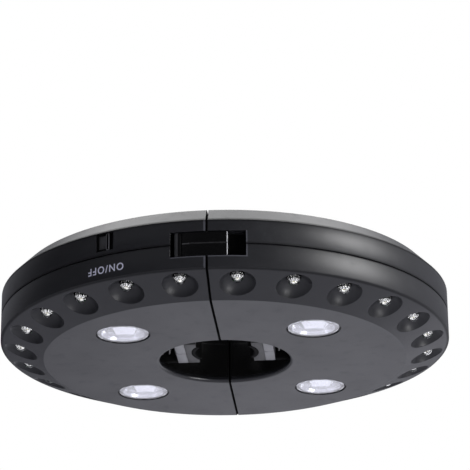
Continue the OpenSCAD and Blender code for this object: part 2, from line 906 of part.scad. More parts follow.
lower_shell(left);  // lower_shell_left
lower_shell(right);  // lower_shell_right
upper_shell(left);  // upper_shell_left
upper_shell(right);  // upper_shell_right
led_board(left);  // led_board_left
led_board(right);  // led_board_right
leds(left);  // leds_left
leds(right);  // leds_right
lenses(left);  // lenses_left
lenses(right);  // lenses_right
reflectors(left);  // reflectors_left
reflectors(right);  // reflectors_right
emitters(left);  // emitters_left
emitters(right);  // emitters_right
emitter_boards(left);  // emitter_boards_left
emitter_boards(right);  // emitter_boards_right
cells(left);  // cells_left
cells(right);  // cells_right
contact_plates(left);  // contact_plates_left
contact_plates(right);  // contact_plates_right
contact_springs(left);  // contact_springs_left
contact_springs(right);  // contact_springs_right
battery_door(left);  // battery_door_left
battery_door(right);  // battery_door_right
jaw_guide(left);  // jaw_guide_left
jaw_guide(right);  // jaw_guide_right
jaw_slider(left);  // jaw_slider_left
jaw_slider(right);  // jaw_slider_right
jaw_face(left);  // jaw_face_left
jaw_face(right);  // jaw_face_right
grip_pad(left);  // grip_pad_left
grip_pad(right);  // grip_pad_right
jaw_springs(left);  // jaw_springs_left
jaw_springs(right);  // jaw_springs_right
case_screws(left);  // case_screws_left
case_screws(right);  // case_screws_right
hinge_leaf(left);  // hinge_leaf_left
hinge_leaf(right);  // hinge_leaf_right
hinge_pin();
link_wires();
latch_clasp();
latch_pin();
switch_body();
switch_knob();
hook(left);  // hook_left
hook(right);  // hook_right
hook_pin(left);  // hook_pin_left
hook_pin(right);  // hook_pin_right
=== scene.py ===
import json
import math
import bmesh
import bpy
from mathutils import Matrix, Vector

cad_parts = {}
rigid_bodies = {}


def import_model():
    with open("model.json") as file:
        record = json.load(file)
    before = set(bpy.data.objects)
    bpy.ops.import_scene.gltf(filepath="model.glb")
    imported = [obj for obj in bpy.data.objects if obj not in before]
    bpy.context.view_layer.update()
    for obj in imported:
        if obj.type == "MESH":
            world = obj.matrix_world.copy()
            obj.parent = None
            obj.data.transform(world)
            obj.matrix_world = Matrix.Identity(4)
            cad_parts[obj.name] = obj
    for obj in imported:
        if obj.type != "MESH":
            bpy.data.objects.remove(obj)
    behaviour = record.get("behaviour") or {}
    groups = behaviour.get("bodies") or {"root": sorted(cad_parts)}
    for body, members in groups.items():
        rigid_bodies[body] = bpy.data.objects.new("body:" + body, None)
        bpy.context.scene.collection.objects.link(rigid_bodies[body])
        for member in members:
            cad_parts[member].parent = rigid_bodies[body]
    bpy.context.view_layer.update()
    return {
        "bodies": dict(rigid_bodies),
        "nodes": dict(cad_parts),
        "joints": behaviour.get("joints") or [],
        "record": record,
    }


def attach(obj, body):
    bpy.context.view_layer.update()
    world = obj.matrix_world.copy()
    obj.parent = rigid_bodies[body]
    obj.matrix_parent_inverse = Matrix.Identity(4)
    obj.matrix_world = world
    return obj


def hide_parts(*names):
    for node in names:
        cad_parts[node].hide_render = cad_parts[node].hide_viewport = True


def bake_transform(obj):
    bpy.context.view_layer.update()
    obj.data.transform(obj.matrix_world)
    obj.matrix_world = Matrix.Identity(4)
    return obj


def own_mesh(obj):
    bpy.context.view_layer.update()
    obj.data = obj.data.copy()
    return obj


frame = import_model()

nodes = frame["nodes"]
mm = 0.001
sides = {"left": -1, "right": 1}
print("frame loaded")


# a node with its settings and inputs; an input is a value or a socket to link
def addNode(tree, kind, settings, inputs):
    node = tree.nodes.new(kind)
    for key, value in (settings or {}).items():
        setattr(node, key, value)
    for key, value in (inputs or {}).items():
        if isinstance(value, bpy.types.NodeSocket):
            tree.links.new(value, node.inputs[key])
        else:
            node.inputs[key].default_value = value
    return node


# shader maths reads as plain expressions on sockets
class Signal:
    def __init__(self, paint, socket):
        self.paint = paint
        self.socket = socket

    def maths(self, operation, first, second=0.0):
        return self.paint.add("ShaderNodeMath", {"operation": operation}, {0: first, 1: second})

    def __add__(self, other): return self.maths("ADD", self, other)
    def __radd__(self, other): return self.maths("ADD", other, self)
    def __sub__(self, other): return self.maths("SUBTRACT", self, other)
    def __rsub__(self, other): return self.maths("SUBTRACT", other, self)
    def __mul__(self, other): return self.maths("MULTIPLY", self, other)
    def __rmul__(self, other): return self.maths("MULTIPLY", other, self)
    def __truediv__(self, other): return self.maths("DIVIDE", self, other)

    def absolute(self): return self.maths("ABSOLUTE", self)
    def sine(self): return self.maths("SINE", self)
    def most(self, other): return self.maths("MAXIMUM", self, other)

    # 0 below low, 1 above high, smooth between
    def ramp(self, low, high):
        return self.paint.add("ShaderNodeMapRange", {"interpolation_type": "SMOOTHSTEP"},
                              {"Value": self, "From Min": low, "From Max": high})

    # 1 between low and high, 0 outside, with soft ends
    def between(self, low, high, soft):
        return self.ramp(low - soft, low) * (1 - self.ramp(high, high + soft))


# one material or world, built a node at a time
class Paint:
    def __init__(self, name, world=False):
        self.block = bpy.data.worlds.new(name) if world else bpy.data.materials.new(name)
        self.block.use_nodes = True
        self.tree = self.block.node_tree
        self.tree.nodes.clear()
        kind = "ShaderNodeOutputWorld" if world else "ShaderNodeOutputMaterial"
        self.output = self.tree.nodes.new(kind)

    def add(self, kind, settings=None, inputs=None, output=0):
        plain = {key: value.socket if isinstance(value, Signal) else value for key, value in (inputs or {}).items()}
        return Signal(self, addNode(self.tree, kind, settings, plain).outputs[output])

    def place(self):
        return self.add("ShaderNodeTexCoord", output="Object")

    # the x, y and z of a vector
    def split(self, vector):
        return [self.add("ShaderNodeSeparateXYZ", {}, {"Vector": vector}, output=index) for index in range(3)]

    # distance from the upright axis through the middle of the disc
    def fromAxis(self):
        flat = self.add("ShaderNodeVectorMath", {"operation": "MULTIPLY"}, {0: self.place(), 1: (1, 1, 0)})
        return self.add("ShaderNodeVectorMath", {"operation": "LENGTH"}, {0: flat}, output="Value")

    def noise(self, scale, detail=2.0, rough=0.5):
        return self.add("ShaderNodeTexNoise", {},
                        {"Vector": self.place(), "Scale": scale, "Detail": detail, "Roughness": rough})

    def blend(self, factor, first, second):
        return self.add("ShaderNodeMix", {"data_type": "RGBA"}, {0: factor, 6: first, 7: second}, output=2)

    # edge is how far edges look rounded, in millimetres; base is a normal to build on
    def bump(self, height, strength, distance, edge=0, base=None):
        inputs = {"Height": height, "Strength": strength, "Distance": distance}
        if edge:
            base = self.add("ShaderNodeBevel", {"samples": 6}, {"Radius": edge * mm})
        if base:
            inputs["Normal"] = base
        return self.add("ShaderNodeBump", {}, inputs)

    def ray(self, kind):
        return self.add("ShaderNodeLightPath", output=f"Is {kind} Ray")

    def shader(self, **values):
        names = {"colour": "Base Color", "rough": "Roughness", "metal": "Metallic", "normal": "Normal",
                 "clear": "Transmission Weight", "bend": "IOR", "glow": "Emission Color",
                 "glowPower": "Emission Strength", "shine": "Specular IOR Level"}
        return self.add("ShaderNodeBsdfPrincipled", {}, {names[key]: value for key, value in values.items()})

    def mix(self, factor, first, second):
        return self.add("ShaderNodeMixShader", {}, {0: factor, 1: first, 2: second})

    def surface(self, shader):
        self.tree.links.new(shader.socket, self.output.inputs["Surface"])
        return self.block


def grey(level, tint=(1.0, 1.0, 1.0)):
    return (level * tint[0], level * tint[1], level * tint[2], 1.0)


# satin moulded plastic with a fine spark-eroded grain and faint handling marks; noise is (scale, detail, roughness)
satinGrain = {"broad": (38, 3.0, 0.55), "fine": (2600, 2.0, 0.5), "marks": (160, 4.0, 0.62),
              "marksRamp": (0.52, 0.74), "tone": (0.5, 0.3), "roughBy": (0.10, 0.05, 0.04),
              "spread": (0.86, 1.16), "bump": 0.5}
satinSettings = {
    "greyPlastic": {"level": 0.30, "tint": (1.0, 1.0, 1.03), "rough": 0.45, "grain": 0.00003},
    "jawPlastic": {"level": 0.062, "tint": (1.0, 1.0, 1.0), "rough": 0.5, "grain": 0.00005},
    "caseGloss": {"level": 0.005, "tint": (1.0, 1.0, 1.04), "rough": 0.2, "grain": 0.000006, "shine": 0.2},
    "knobSatin": {"level": 0.045, "tint": (1.0, 1.0, 1.04), "rough": 0.3, "grain": 0.00001, "shine": 0.6},
    "gripRubber": {"level": 0.004, "tint": (1.0, 0.99, 0.97), "rough": 0.75, "grain": 0.00005, "shine": 0.1},
    "printInk": {"level": 0.95, "tint": (0.94, 0.94, 1.1), "rough": 0.5, "grain": 0.000004},
    # the last three are lighter paints for painted highlights on the latch clasp's edges and groove and the switch
    # ridge's edges
    "wornEdge": {"level": 0.55, "tint": (1.0, 1.0, 1.03), "rough": 0.3, "grain": 0.00001},
    "ridgeEdge": {"level": 0.30, "tint": (1.0, 1.0, 1.03), "rough": 0.25, "grain": 0.00001},
    "wornLine": {"level": 0.05, "tint": (1.0, 1.0, 1.03), "rough": 0.35, "grain": 0.00001},
}


# colour, roughness and fine grain of a satin plastic, its colour spread below and above its level
def satinBase(paint, level, tint, rough, spread):
    broad, fine, marks = (paint.noise(*satinGrain[key]) for key in ("broad", "fine", "marks"))
    marks = marks.ramp(*satinGrain["marksRamp"])
    ofBroad, ofMarks = satinGrain["tone"]
    low, high = (grey(level * part, tint) for part in spread)
    colour = paint.blend(broad * ofBroad + marks * ofMarks, low, high)
    byBroad, byMarks, byFine = satinGrain["roughBy"]
    return colour, rough + (broad - 0.5) * byBroad + marks * byMarks + (fine - 0.5) * byFine, fine


def satinPlastic(name, level, tint, rough, grain, shine=0.5):
    paint = Paint(name)
    colour, rough, fine = satinBase(paint, level, tint, rough, satinGrain["spread"])
    normal = paint.bump(fine, satinGrain["bump"], grain)
    return paint.surface(paint.shader(colour=colour, rough=rough, normal=normal, shine=shine))


satins = {name: satinPlastic(name, **settings) for name, settings in satinSettings.items()}

# the case: satin outside, polished in the pole hole; painted shade in black darkens the pole hole, the latch recess,
# the split between the halves and the edges of the wall bands
caseSettings = {
    "level": 0.020, "tint": (0.95, 0.97, 1.12), "rough": 0.40, "spread": (0.84, 1.18), "grain": 0.000022,
    "edge": 0.35, "soft": 0.0001,
    "scuffs": {"patches": (26, 2.0, 0.5), "patchRamp": (0.5, 0.7), "specks": (900, 2.0, 0.5),
               "speckRamp": (0.6, 0.68), "mix": 0.35, "level": 0.036},
    "split": (0.0005, 0.00056), "dull": {"level": 0.003, "rough": 0.8, "shine": 0.1},
    "hole": {"rim": (0.0289, 0.0299), "lip": (0.0009, 0.0036), "level": 0.004, "rough": 0.16, "dull": 0.5},
    "recess": {"x": (-0.0151, 0.0161), "z": (0.0127, 0.0235), "wall": (0.09965, 0.09985), "front": (-0.092, -0.09),
               "rougher": 0.2},
    "lips": {"level": 0.10, "width": 0.0005, "split": (-0.00125, -0.00055)},
    "bands": {"z": ((0.007, 0.01815), (0.01815, 0.0283)), "swell": 0.00065, "swellFrom": (0.098, 0.0985),
              "edge": (0.0, 0.42), "edgeFrom": (0.0985, 0.0995), "shade": 0.55},
}


def casePaint(s):
    paint = Paint("caseSatin")
    tint, soft = s["tint"], s["soft"]
    colour, rough, fine = satinBase(paint, s["level"], tint, s["rough"], s["spread"])
    fromAxis = paint.fromAxis()
    x, y, z = paint.split(paint.place())
    scuffs = s["scuffs"]
    patches = paint.noise(*scuffs["patches"]).ramp(*scuffs["patchRamp"])
    specks = paint.noise(*scuffs["specks"]).ramp(*scuffs["speckRamp"])
    colour = paint.blend(patches * specks * scuffs["mix"], colour, grey(scuffs["level"], tint))
    recess = s["recess"]
    atFront = 1 - y.ramp(*recess["front"])
    onWall = fromAxis.ramp(*recess["wall"])
    inRecess = x.between(*recess["x"], soft) * z.between(*recess["z"], soft) * (1 - onWall) * atFront
    # painted highlights on the edge lips: left edge of the split, lower and right edges of the recess
    (x0, x1), (z0, z1), wide = recess["x"], recess["z"], s["lips"]["width"]
    lips = x.between(*s["lips"]["split"], soft)
    lips = lips.most(x.between(x0, x1 + wide, soft) * z.between(z0 - wide, z0, soft))
    lips = lips.most(x.between(x1, x1 + wide, soft) * z.between(z0 - wide, z1, soft)) * onWall * atFront
    colour = paint.blend(lips, colour, grey(s["lips"]["level"], tint))
    # the pole hole is polished all the way down; painted shade darkens it but for its lower lip, and darkens the
    # latch recess too
    hole = s["hole"]
    polished = 1 - fromAxis.ramp(*hole["rim"])
    inHole = polished * z.ramp(*hole["lip"])
    colour = paint.blend(inHole.most(inRecess), colour, grey(hole["level"]))
    rough = rough + polished * (hole["rough"] - s["rough"]) + inRecess * recess["rougher"]
    # the rim wall swells a little above and below the seam, and painted shade darkens the edges of each band
    bands = s["bands"]
    swell = 0
    for low, high in bands["z"]:
        across = (z - (low + high) / 2) / ((high - low) / 2)
        swell = swell + (1 - across * across).most(0.0)
    shade = (1 - swell.ramp(*bands["edge"])) * fromAxis.ramp(*bands["edgeFrom"]) * bands["shade"]
    curved = paint.bump(swell * fromAxis.ramp(*bands["swellFrom"]), 1.0, bands["swell"], s["edge"])
    normal = paint.bump(fine, satinGrain["bump"], s["grain"], base=curved)
    outside = paint.shader(colour=colour, rough=rough, normal=normal)
    # the black shader is painted shade, mixed in along the split, in the latch recess, part way in the pole hole and
    # at the band edges
    dull = s["dull"]
    shadeShader = paint.shader(colour=grey(dull["level"]), rough=dull["rough"], shine=dull["shine"])
    # painted shade along the split: a black band a little wider than the gap between the halves
    between = 1 - x.absolute().ramp(*s["split"])
    share = between.most(inRecess).most(inHole * hole["dull"]).most(shade)
    return paint.surface(paint.mix(share, outside, shadeShader))


caseSatin = casePaint(caseSettings)

# metals, boards, wraps and wires: a base colour broken up by fine wear
plainWear = {"wear": (900, 3.0, 0.6), "grain": (4200, 2.0, 0.5), "spread": (0.88, 1.08), "roughBy": 0.14,
             "bump": (0.3, 0.000006)}
plainSettings = {
    "springSteel": {"level": 0.30, "tint": (1.0, 0.99, 0.97), "rough": 0.3, "metal": 1.0},
    "brightSteel": {"level": 0.62, "tint": (1.0, 0.99, 0.97), "rough": 0.28, "metal": 1.0, "edge": 0.12},
    "nickelPlate": {"level": 0.72, "tint": (1.0, 0.98, 0.94), "rough": 0.22, "metal": 1.0},
    "silveredCup": {"level": 0.86, "tint": (0.98, 0.98, 1.0), "rough": 0.16, "metal": 1.0},
    "silveredRim": {"level": 0.66, "tint": (0.98, 0.98, 1.01), "rough": 0.2, "metal": 1.0},
    "ledFrame": {"level": 0.95, "tint": (1.0, 1.0, 0.97), "rough": 0.12, "metal": 1.0},
    "boardGreen": {"level": 0.10, "tint": (0.35, 1.0, 0.55), "rough": 0.35},
    "cellWrap": {"level": 0.10, "tint": (0.35, 0.6, 1.4), "rough": 0.26},
    "cellBand": {"level": 0.55, "tint": (1.0, 1.0, 1.02), "rough": 0.3},
    "ceramic": {"level": 0.82, "tint": (1.0, 1.0, 0.98), "rough": 0.4},
    "phosphor": {"level": 0.80, "tint": (1.0, 0.90, 0.42), "rough": 0.4},
    "wireRed": {"level": 0.3, "tint": (1.0, 0.1, 0.08), "rough": 0.4},
}


def plainPaint(name, level, tint, rough, metal=0.0, edge=0):
    paint = Paint(name)
    wear, grain = paint.noise(*plainWear["wear"]), paint.noise(*plainWear["grain"])
    low, high = plainWear["spread"]
    colour = paint.blend(wear, grey(level * low, tint), grey(min(1.0, level * high), tint))
    return paint.surface(paint.shader(colour=colour, rough=rough + (wear - 0.5) * plainWear["roughBy"], metal=metal,
                                      normal=paint.bump(grain, *plainWear["bump"], edge)))


plains = {name: plainPaint(name, **settings) for name, settings in plainSettings.items()}

# green board with copper tracks under its lacquer, in rings about the disc's axis
boardSettings = {"pitch": 2600, "trackRamp": (0.55, 0.8), "ring": (0.0846, 0.0932, 0.0002),
                 "speckle": (700, 3.0, 0.6), "greens": ((0.02, 0.075, 0.035, 1), (0.035, 0.11, 0.05, 1)),
                 "track": (0.10, 0.22, 0.06, 1), "trackMix": 0.6, "rough": (0.3, 0.12), "bump": (0.4, 0.00003)}


def boardPaint(s):
    paint = Paint("ledBoard")
    fromAxis = paint.fromAxis()
    tracks = (fromAxis * s["pitch"]).sine().ramp(*s["trackRamp"]) * fromAxis.between(*s["ring"])
    speckle = paint.noise(*s["speckle"])
    colour = paint.blend(tracks * s["trackMix"], paint.blend(speckle, *s["greens"]), s["track"])
    rough, roughBy = s["rough"]
    return paint.surface(paint.shader(colour=colour, rough=rough + speckle * roughBy,
                                      normal=paint.bump(tracks, *s["bump"])))


ledBoard = boardPaint(boardSettings)

# clear moulded resin and acrylic, with a little haze
clearHaze = {"noise": (500, 2.0, 0.5), "low": 0.97}
clearSettings = {
    "clearResin": {"tint": (1.0, 1.0, 0.98), "rough": 0.015, "bend": 1.52},
    "clearCover": {"tint": (0.965, 0.97, 0.995), "rough": 0.02, "bend": 1.46},
}


def clearPaint(name, tint, rough, bend):
    paint = Paint(name)
    colour = paint.blend(paint.noise(*clearHaze["noise"]), grey(clearHaze["low"], tint), grey(1.0, tint))
    return paint.surface(paint.shader(colour=colour, rough=rough, clear=1.0, bend=bend))


clears = {name: clearPaint(name, **settings) for name, settings in clearSettings.items()}

paintedNodes = (
    (caseSatin, ("lower_shell", "upper_shell", "battery_door", "hook")),
    (ledBoard, ("led_board",)),
    (clears["clearResin"], ("leds",)),
    (clears["clearCover"], ("lenses",)),
    (plains["silveredCup"], ("reflectors",)),
    (plains["phosphor"], ("emitters",)),
    (plains["boardGreen"], ("emitter_boards",)),
    (plains["cellWrap"], ("cells",)),
    (plains["nickelPlate"], ("contact_plates", "contact_springs")),
    (plains["wireRed"], ("link_wires",)),
    (plains["brightSteel"], ("jaw_springs", "case_screws", "hinge_leaf", "hinge_pin", "latch_pin", "hook_pin")),
    (satins["caseGloss"], ("jaw_guide", "latch_clasp", "switch_body", "switch_knob")),
    (satins["greyPlastic"], ("jaw_slider",)),
    (satins["jawPlastic"], ("jaw_face",)),
    (satins["gripRubber"], ("grip_pad",)),
)
nodePaints = {name: paint for paint, names in paintedNodes for name in names}
for name, node in nodes.items():
    node.data.materials.clear()
    node.data.materials.append(nodePaints[name.replace("_left", "").replace("_right", "")])
print("materials made")


def inScene(thing):
    bpy.context.scene.collection.objects.link(thing)
    return thing


# angles in degrees, place in millimetres along the camera's own right, up and back
cameraSettings = {"lens": 174.5, "below": 21.587, "turn": 3.817, "roll": -0.589, "place": (4.42, 56.70, 1017.1),
                  "sensor": 36, "near": 0.01}


def makeCamera(s):
    below, turn, roll = (math.radians(s[key]) for key in ("below", "turn", "roll"))
    back = Vector((math.sin(turn) * math.cos(below), -math.cos(turn) * math.cos(below), -math.sin(below)))
    flatX = Vector((0, 0, 1)).cross(back).normalized()
    flatY = back.cross(flatX)
    right = math.cos(roll) * flatX + math.sin(roll) * flatY
    up = -math.sin(roll) * flatX + math.cos(roll) * flatY
    axes = Matrix((right, up, back)).transposed()
    camera = inScene(bpy.data.objects.new("camera", bpy.data.cameras.new("camera")))
    camera.data.lens = s["lens"]
    camera.data.sensor_width = s["sensor"]
    camera.data.clip_start = s["near"]
    camera.matrix_world = Matrix.Translation(axes @ Vector(s["place"]) * mm) @ axes.to_4x4()
    bpy.context.scene.camera = camera


makeCamera(cameraSettings)

stageSettings = {"floorZ": -0.45, "floorSize": 6.0, "floorGrey": (0.98, 0.78), "rough": 0.7, "noise": (3, 2.0, 0.5),
                 "farRamp": (0.6, 1.2), "sideRamp": (-0.45, -0.15), "farGlow": 0.85, "throughGlow": 0.75,
                 "tint": (0.96, 0.96, 1.04)}
# the floor lamp lies flat and faces up, so it throws nothing on the floor
lampSettings = {
    "overhead": {"place": (-0.03, 0.4, 1.1), "aim": (0, 0, 0), "size": (1.2, 0.8), "power": 8.5},
    "rightBox": {"place": (0.96, -0.37, 0.42), "aim": (0, 0, 0), "size": (0.48, 0.5), "power": 9},
    "floorRight": {"place": (0.85, -0.6, -0.44), "aim": (0.85, -0.5999, 1), "size": (0.5, 0.5), "power": 7},
}
# how bright the plain room is, in reflections and as soft light: all round, behind, on the right, at the front left
roomSettings = {"glossy": (0.04, 0.25, 0.30, 0.26), "soft": (0.09, 0.25, 0.10, 0.66), "behind": (0.1, 0.7),
                "right": (0.55, 0.95), "left": (0.1, 0.5), "front": (0.1, 0.5), "high": (0.12, 0.35),
                "tint": (0.95, 0.96, 1.06)}


def makeStage(s):
    half, z, tint = s["floorSize"] / 2, s["floorZ"], s["tint"]
    mesh = bpy.data.meshes.new("floor")
    mesh.from_pydata([(-half, -half, z), (half, -half, z), (half, half, z), (-half, half, z)], [], [(0, 1, 2, 3)])
    floor = inScene(bpy.data.objects.new("floor", mesh))
    paint = Paint("floorPaint")
    x, y, z = paint.split(paint.place())
    far = y.ramp(*s["farRamp"]) * x.ramp(*s["sideRamp"])
    glow = (paint.ray("Transmission") * s["throughGlow"]).most(paint.ray("Glossy") * far * s["farGlow"])
    part, level = s["floorGrey"]
    colour = paint.blend(paint.noise(*s["noise"]), grey(level * part, tint), grey(level, tint))
    glow = paint.blend(glow, grey(0), grey(1, tint))
    above = paint.shader(colour=colour, rough=s["rough"], glow=glow, glowPower=1.0)
    # seen from underneath the floor is clear, so the lamp face shows
    below = paint.add("ShaderNodeNewGeometry", output="Backfacing")
    mesh.materials.append(paint.surface(paint.mix(below, above, paint.add("ShaderNodeBsdfTransparent"))))


# what the camera sees past the part is plain white, straight on or through something clear
def makeRoom(s):
    paint = Paint("softRoom", world=True)
    seen = paint.ray("Camera").most(paint.ray("Transmission"))
    glossy = paint.ray("Glossy")
    x, y, z = paint.split(paint.add("ShaderNodeTexCoord", output="Generated"))
    behind = y.ramp(*s["behind"])
    right = x.ramp(*s["right"])
    frontLeft = (0 - x).ramp(*s["left"]) * (0 - y).ramp(*s["front"]) * z.ramp(*s["high"])

    def level(everywhere, atBack, atRight, atFrontLeft):
        return everywhere + behind * atBack + right * atRight + frontLeft * atFrontLeft

    strength = seen + (1 - seen) * (glossy * level(*s["glossy"]) + (1 - glossy) * level(*s["soft"]))
    colour = paint.blend(seen, (*s["tint"], 1.0), grey(1.0))
    bpy.context.scene.world = paint.surface(
        paint.add("ShaderNodeBackground", {}, {"Color": colour, "Strength": strength}))


def makeLamp(name, s):
    data = bpy.data.lights.new(name, "AREA")
    data.shape = "RECTANGLE"
    data.size, data.size_y = s["size"]
    data.energy = s["power"]
    lamp = inScene(bpy.data.objects.new(name, data))
    lamp.location = s["place"]
    lamp.visible_camera = False
    toward = Vector(s["aim"]) - Vector(s["place"])
    lamp.rotation_euler = toward.to_track_quat("-Z", "Y").to_euler()


makeStage(stageSettings)
makeRoom(roomSettings)
for name, settings in lampSettings.items():
    makeLamp(name, settings)
bpy.context.scene.view_settings.view_transform = "Standard"
print("camera, stage and lamps placed")


def turnAbout(axis, degrees):
    return Matrix.Rotation(math.radians(degrees), 4, axis)


def polar(radius, degrees, z=0.0):
    return Vector((radius * math.cos(math.radians(degrees)), radius * math.sin(math.radians(degrees)), z))


# rings of points joined into a skin; a ring of one point closes a pole, closed joins the last ring to the first,
# capped puts a face on the first and the last ring
def loft(shape, rings, slots=None, closed=False, capped=False):
    made = [[shape.verts.new(point) for point in ring] for ring in rings]
    pairs = list(zip(made, made[1:])) + ([(made[-1], made[0])] if closed else [])
    for index, (low, high) in enumerate(pairs):
        count = max(len(low), len(high))
        for k in range(count):
            n = (k + 1) % count
            corners = [low[0]] if len(low) == 1 else [low[k], low[n]]
            corners += [high[0]] if len(high) == 1 else [high[n], high[k]]
            face = shape.faces.new(corners)
            if slots:
                face.material_index = slots[index]
    if capped:
        shape.faces.new(list(reversed(made[0])))
        shape.faces.new(made[-1])


# a skin turned about local z from (radius, z) points; radius 0 is a pole
def turned(shape, profile, steps=48, move=Matrix(), slots=None, closed=False):
    rings = []
    for radius, z in profile:
        if radius == 0:
            rings.append([move @ Vector((0, 0, z))])
        else:
            rings.append([move @ polar(radius, 360 * k / steps, z) for k in range(steps)])
    loft(shape, rings, slots, closed)


# (radius, z) points of a rounded corner, about a centre, between two angles
def bend(centre, radius, start, end, steps=4):
    angles = [math.radians(start + (end - start) * k / steps) for k in range(steps + 1)]
    return [(centre[0] + radius * math.cos(a), centre[1] + radius * math.sin(a)) for a in angles]


# a turned profile from rows of (radius, z); a longer row is a bend: centre, radius, start and end angle, steps
def profileOf(rows):
    points = []
    for row in rows:
        points += [row] if len(row) == 2 else bend(row[:2], *row[2:])
    return points


# half a profile and its mirror image about z = 0
def mirrored(upper):
    return [(radius, -z) for radius, z in reversed(upper)] + upper


# a block between two corners with every edge rounded
def block(shape, low, high, radius, move=Matrix(), steps=2, slot=0, edgeSlot=None):
    low, high = Vector(low), Vector(high)
    middle, size = (low + high) / 2, high - low
    made = bmesh.ops.create_cube(shape, size=1.0)["verts"]
    for vert in made:
        vert.co = Vector((vert.co[i] * size[i] + middle[i] for i in range(3)))
    edges = dict.fromkeys(edge for vert in made for edge in vert.link_edges)
    for face in {face for vert in made for face in vert.link_faces}:
        face.material_index = slot
    done = bmesh.ops.bevel(shape, geom=list(edges), offset=radius, segments=steps, profile=0.5, affect="EDGES",
                           clamp_overlap=True)
    for face in done["faces"]:
        face.material_index = slot if edgeSlot is None else edgeSlot
    verts = {vert for face in done["faces"] for vert in face.verts} | {vert for vert in made if vert.is_valid}
    for vert in verts:
        vert.co = move @ vert.co


# (draw in, rise) steps of an edge rounded by a radius
def edgeCurve(radius, steps):
    angles = [math.pi / 2 * k / steps for k in range(steps + 1)]
    return [(radius * (1 - math.sin(a)), radius * (1 - math.cos(a))) for a in angles]


# an outline raised from one height to another, drawn in by a rounded edge at both ends
def prism(shape, outline, low, high, radius, move=Matrix(), steps=3):
    curve = edgeCurve(radius, steps)
    levels = [(drawIn, low + rise) for drawIn, rise in curve]
    levels += [(drawIn, high - rise) for drawIn, rise in reversed(curve)]
    loft(shape, [[move @ Vector((x, y, z)) for x, y in inset(outline, drawIn)] for drawIn, z in levels], capped=True)


# an anticlockwise outline moved inward by a distance
def inset(outline, distance):
    if distance == 0:
        return outline
    moved = []
    count = len(outline)
    for k in range(count):
        before, here, after = (Vector(outline[(k + step) % count]) for step in (-1, 0, 1))
        first, second = (here - before).normalized(), (after - here).normalized()
        normal = Vector((-(first.y + second.y), first.x + second.x)).normalized()
        reach = max(0.5, normal.dot(Vector((-first.y, first.x))))
        moved.append(tuple(here + normal * (distance / reach)))
    return moved


# the rounded end of a bar, as (share of its section, distance past its end in half widths)
barEnd = ((0.55, 0.40), (0.85, 0.22))


# a round or flattened bar swept along points, with rounded ends
def bar(shape, path, width, height, up=Vector((0, 0, 1)), around=14, squareness=3.0, move=Matrix()):
    path = [Vector(point) for point in path]
    section = []
    for i in range(around):
        c, s = math.cos(2 * math.pi * i / around), math.sin(2 * math.pi * i / around)
        section.append((math.copysign(abs(c) ** (2 / squareness), c) * width / 2,
                        math.copysign(abs(s) ** (2 / squareness), s) * height / 2))
    frames = []
    for k, point in enumerate(path):
        along = (path[min(k + 1, len(path) - 1)] - path[max(k - 1, 0)]).normalized()
        across = along.cross(up).normalized()
        frames.append((point, along, across, across.cross(along)))

    def skin(frame, share=1.0, out=0.0):
        point, along, across, lift = frame
        middle = point + along * out * width / 2
        return [move @ (middle + across * u * share + lift * v * share) for u, v in section]

    skins = [skin(frames[0], share, -out) for share, out in barEnd] + [skin(frame) for frame in frames]
    skins += [skin(frames[-1], share, out) for share, out in reversed(barEnd)]
    loft(shape, skins, capped=True)


# smooth shading with sharp edges kept past an angle
def shaded(mesh, paints, sharp):
    for paint in paints:
        mesh.materials.append(paint)
    mesh.polygons.foreach_set("use_smooth", [True] * len(mesh.polygons))
    mesh.set_sharp_from_angle(angle=math.radians(sharp))
    return mesh


# millimetre shape to a finished mesh in metres
def meshFrom(name, shape, paints, sharp=38):
    bmesh.ops.remove_doubles(shape, verts=shape.verts, dist=1e-5)
    bmesh.ops.recalc_face_normals(shape, faces=shape.faces)
    bmesh.ops.scale(shape, vec=(mm, mm, mm), verts=shape.verts)
    mesh = bpy.data.meshes.new(name)
    shape.to_mesh(mesh)
    shape.free()
    return shaded(mesh, paints, sharp)


# an object's final shape as a plain mesh; the object goes
def asMesh(carrier):
    bpy.context.view_layer.update()
    graph = bpy.context.evaluated_depsgraph_get()
    mesh = bpy.data.meshes.new_from_object(carrier.evaluated_get(graph), depsgraph=graph)
    bpy.data.objects.remove(carrier)
    return mesh


def link(name, mesh, body, stoodFor=()):
    piece = inScene(bpy.data.objects.new(name, mesh))
    if body:
        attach(piece, body)
    if stoodFor:
        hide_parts(*stoodFor)
    return piece


# pieces on both sides; rows are (name, how it is drawn, its settings, body, CAD node it replaces, slot)
def onBothSides(*rows):
    for side in sides:
        for name, draw, settings, body, node, slot in rows:
            body = f"{side}_half" if body == "half" else f"{body}_{side}"
            link(f"{name}_{side}", draw(settings, side), body, (f"{node}_{side}",) if node else ())


# a shape turned from its profile
def turnedMesh(name, s, paint, sharp=38):
    shape = bmesh.new()
    turned(shape, profileOf(s["profile"]), s["steps"])
    return meshFrom(name, shape, [paint], sharp)


# shapes are drawn on the left side and mirrored to the right
def toSide(side):
    return Matrix.Diagonal((1 if side == "left" else -1, 1, 1, 1))


# geometry nodes, built from types, settings and links; sizes are named inputs
class Tree:
    def __init__(self, name, inputs):
        self.group = bpy.data.node_groups.new(name, "GeometryNodeTree")
        face = self.group.interface
        self.keys = {}
        for title, kind in inputs.items():
            socket = face.new_socket(title, in_out="INPUT", socket_type="NodeSocket" + kind)
            self.keys[title] = socket.identifier
        face.new_socket("Geometry", in_out="OUTPUT", socket_type="NodeSocketGeometry")
        self.start = self.group.nodes.new("NodeGroupInput")

    def value(self, title):
        return self.start.outputs[title]

    def add(self, kind, settings=None, inputs=None, output=0):
        return addNode(self.group, kind, settings, inputs).outputs[output]

    def maths(self, operation, first, second=0.0):
        return self.add("ShaderNodeMath", {"operation": operation}, {0: first, 1: second})

    # instances made real and painted, which ends every tree
    def end(self, geometry):
        real = self.add("GeometryNodeRealizeInstances", {}, {"Geometry": geometry})
        painted = self.add("GeometryNodeSetMaterial", {}, {"Geometry": real, "Material": self.value("Material")})
        out = self.group.nodes.new("NodeGroupOutput")
        self.group.links.new(painted, out.inputs[0])


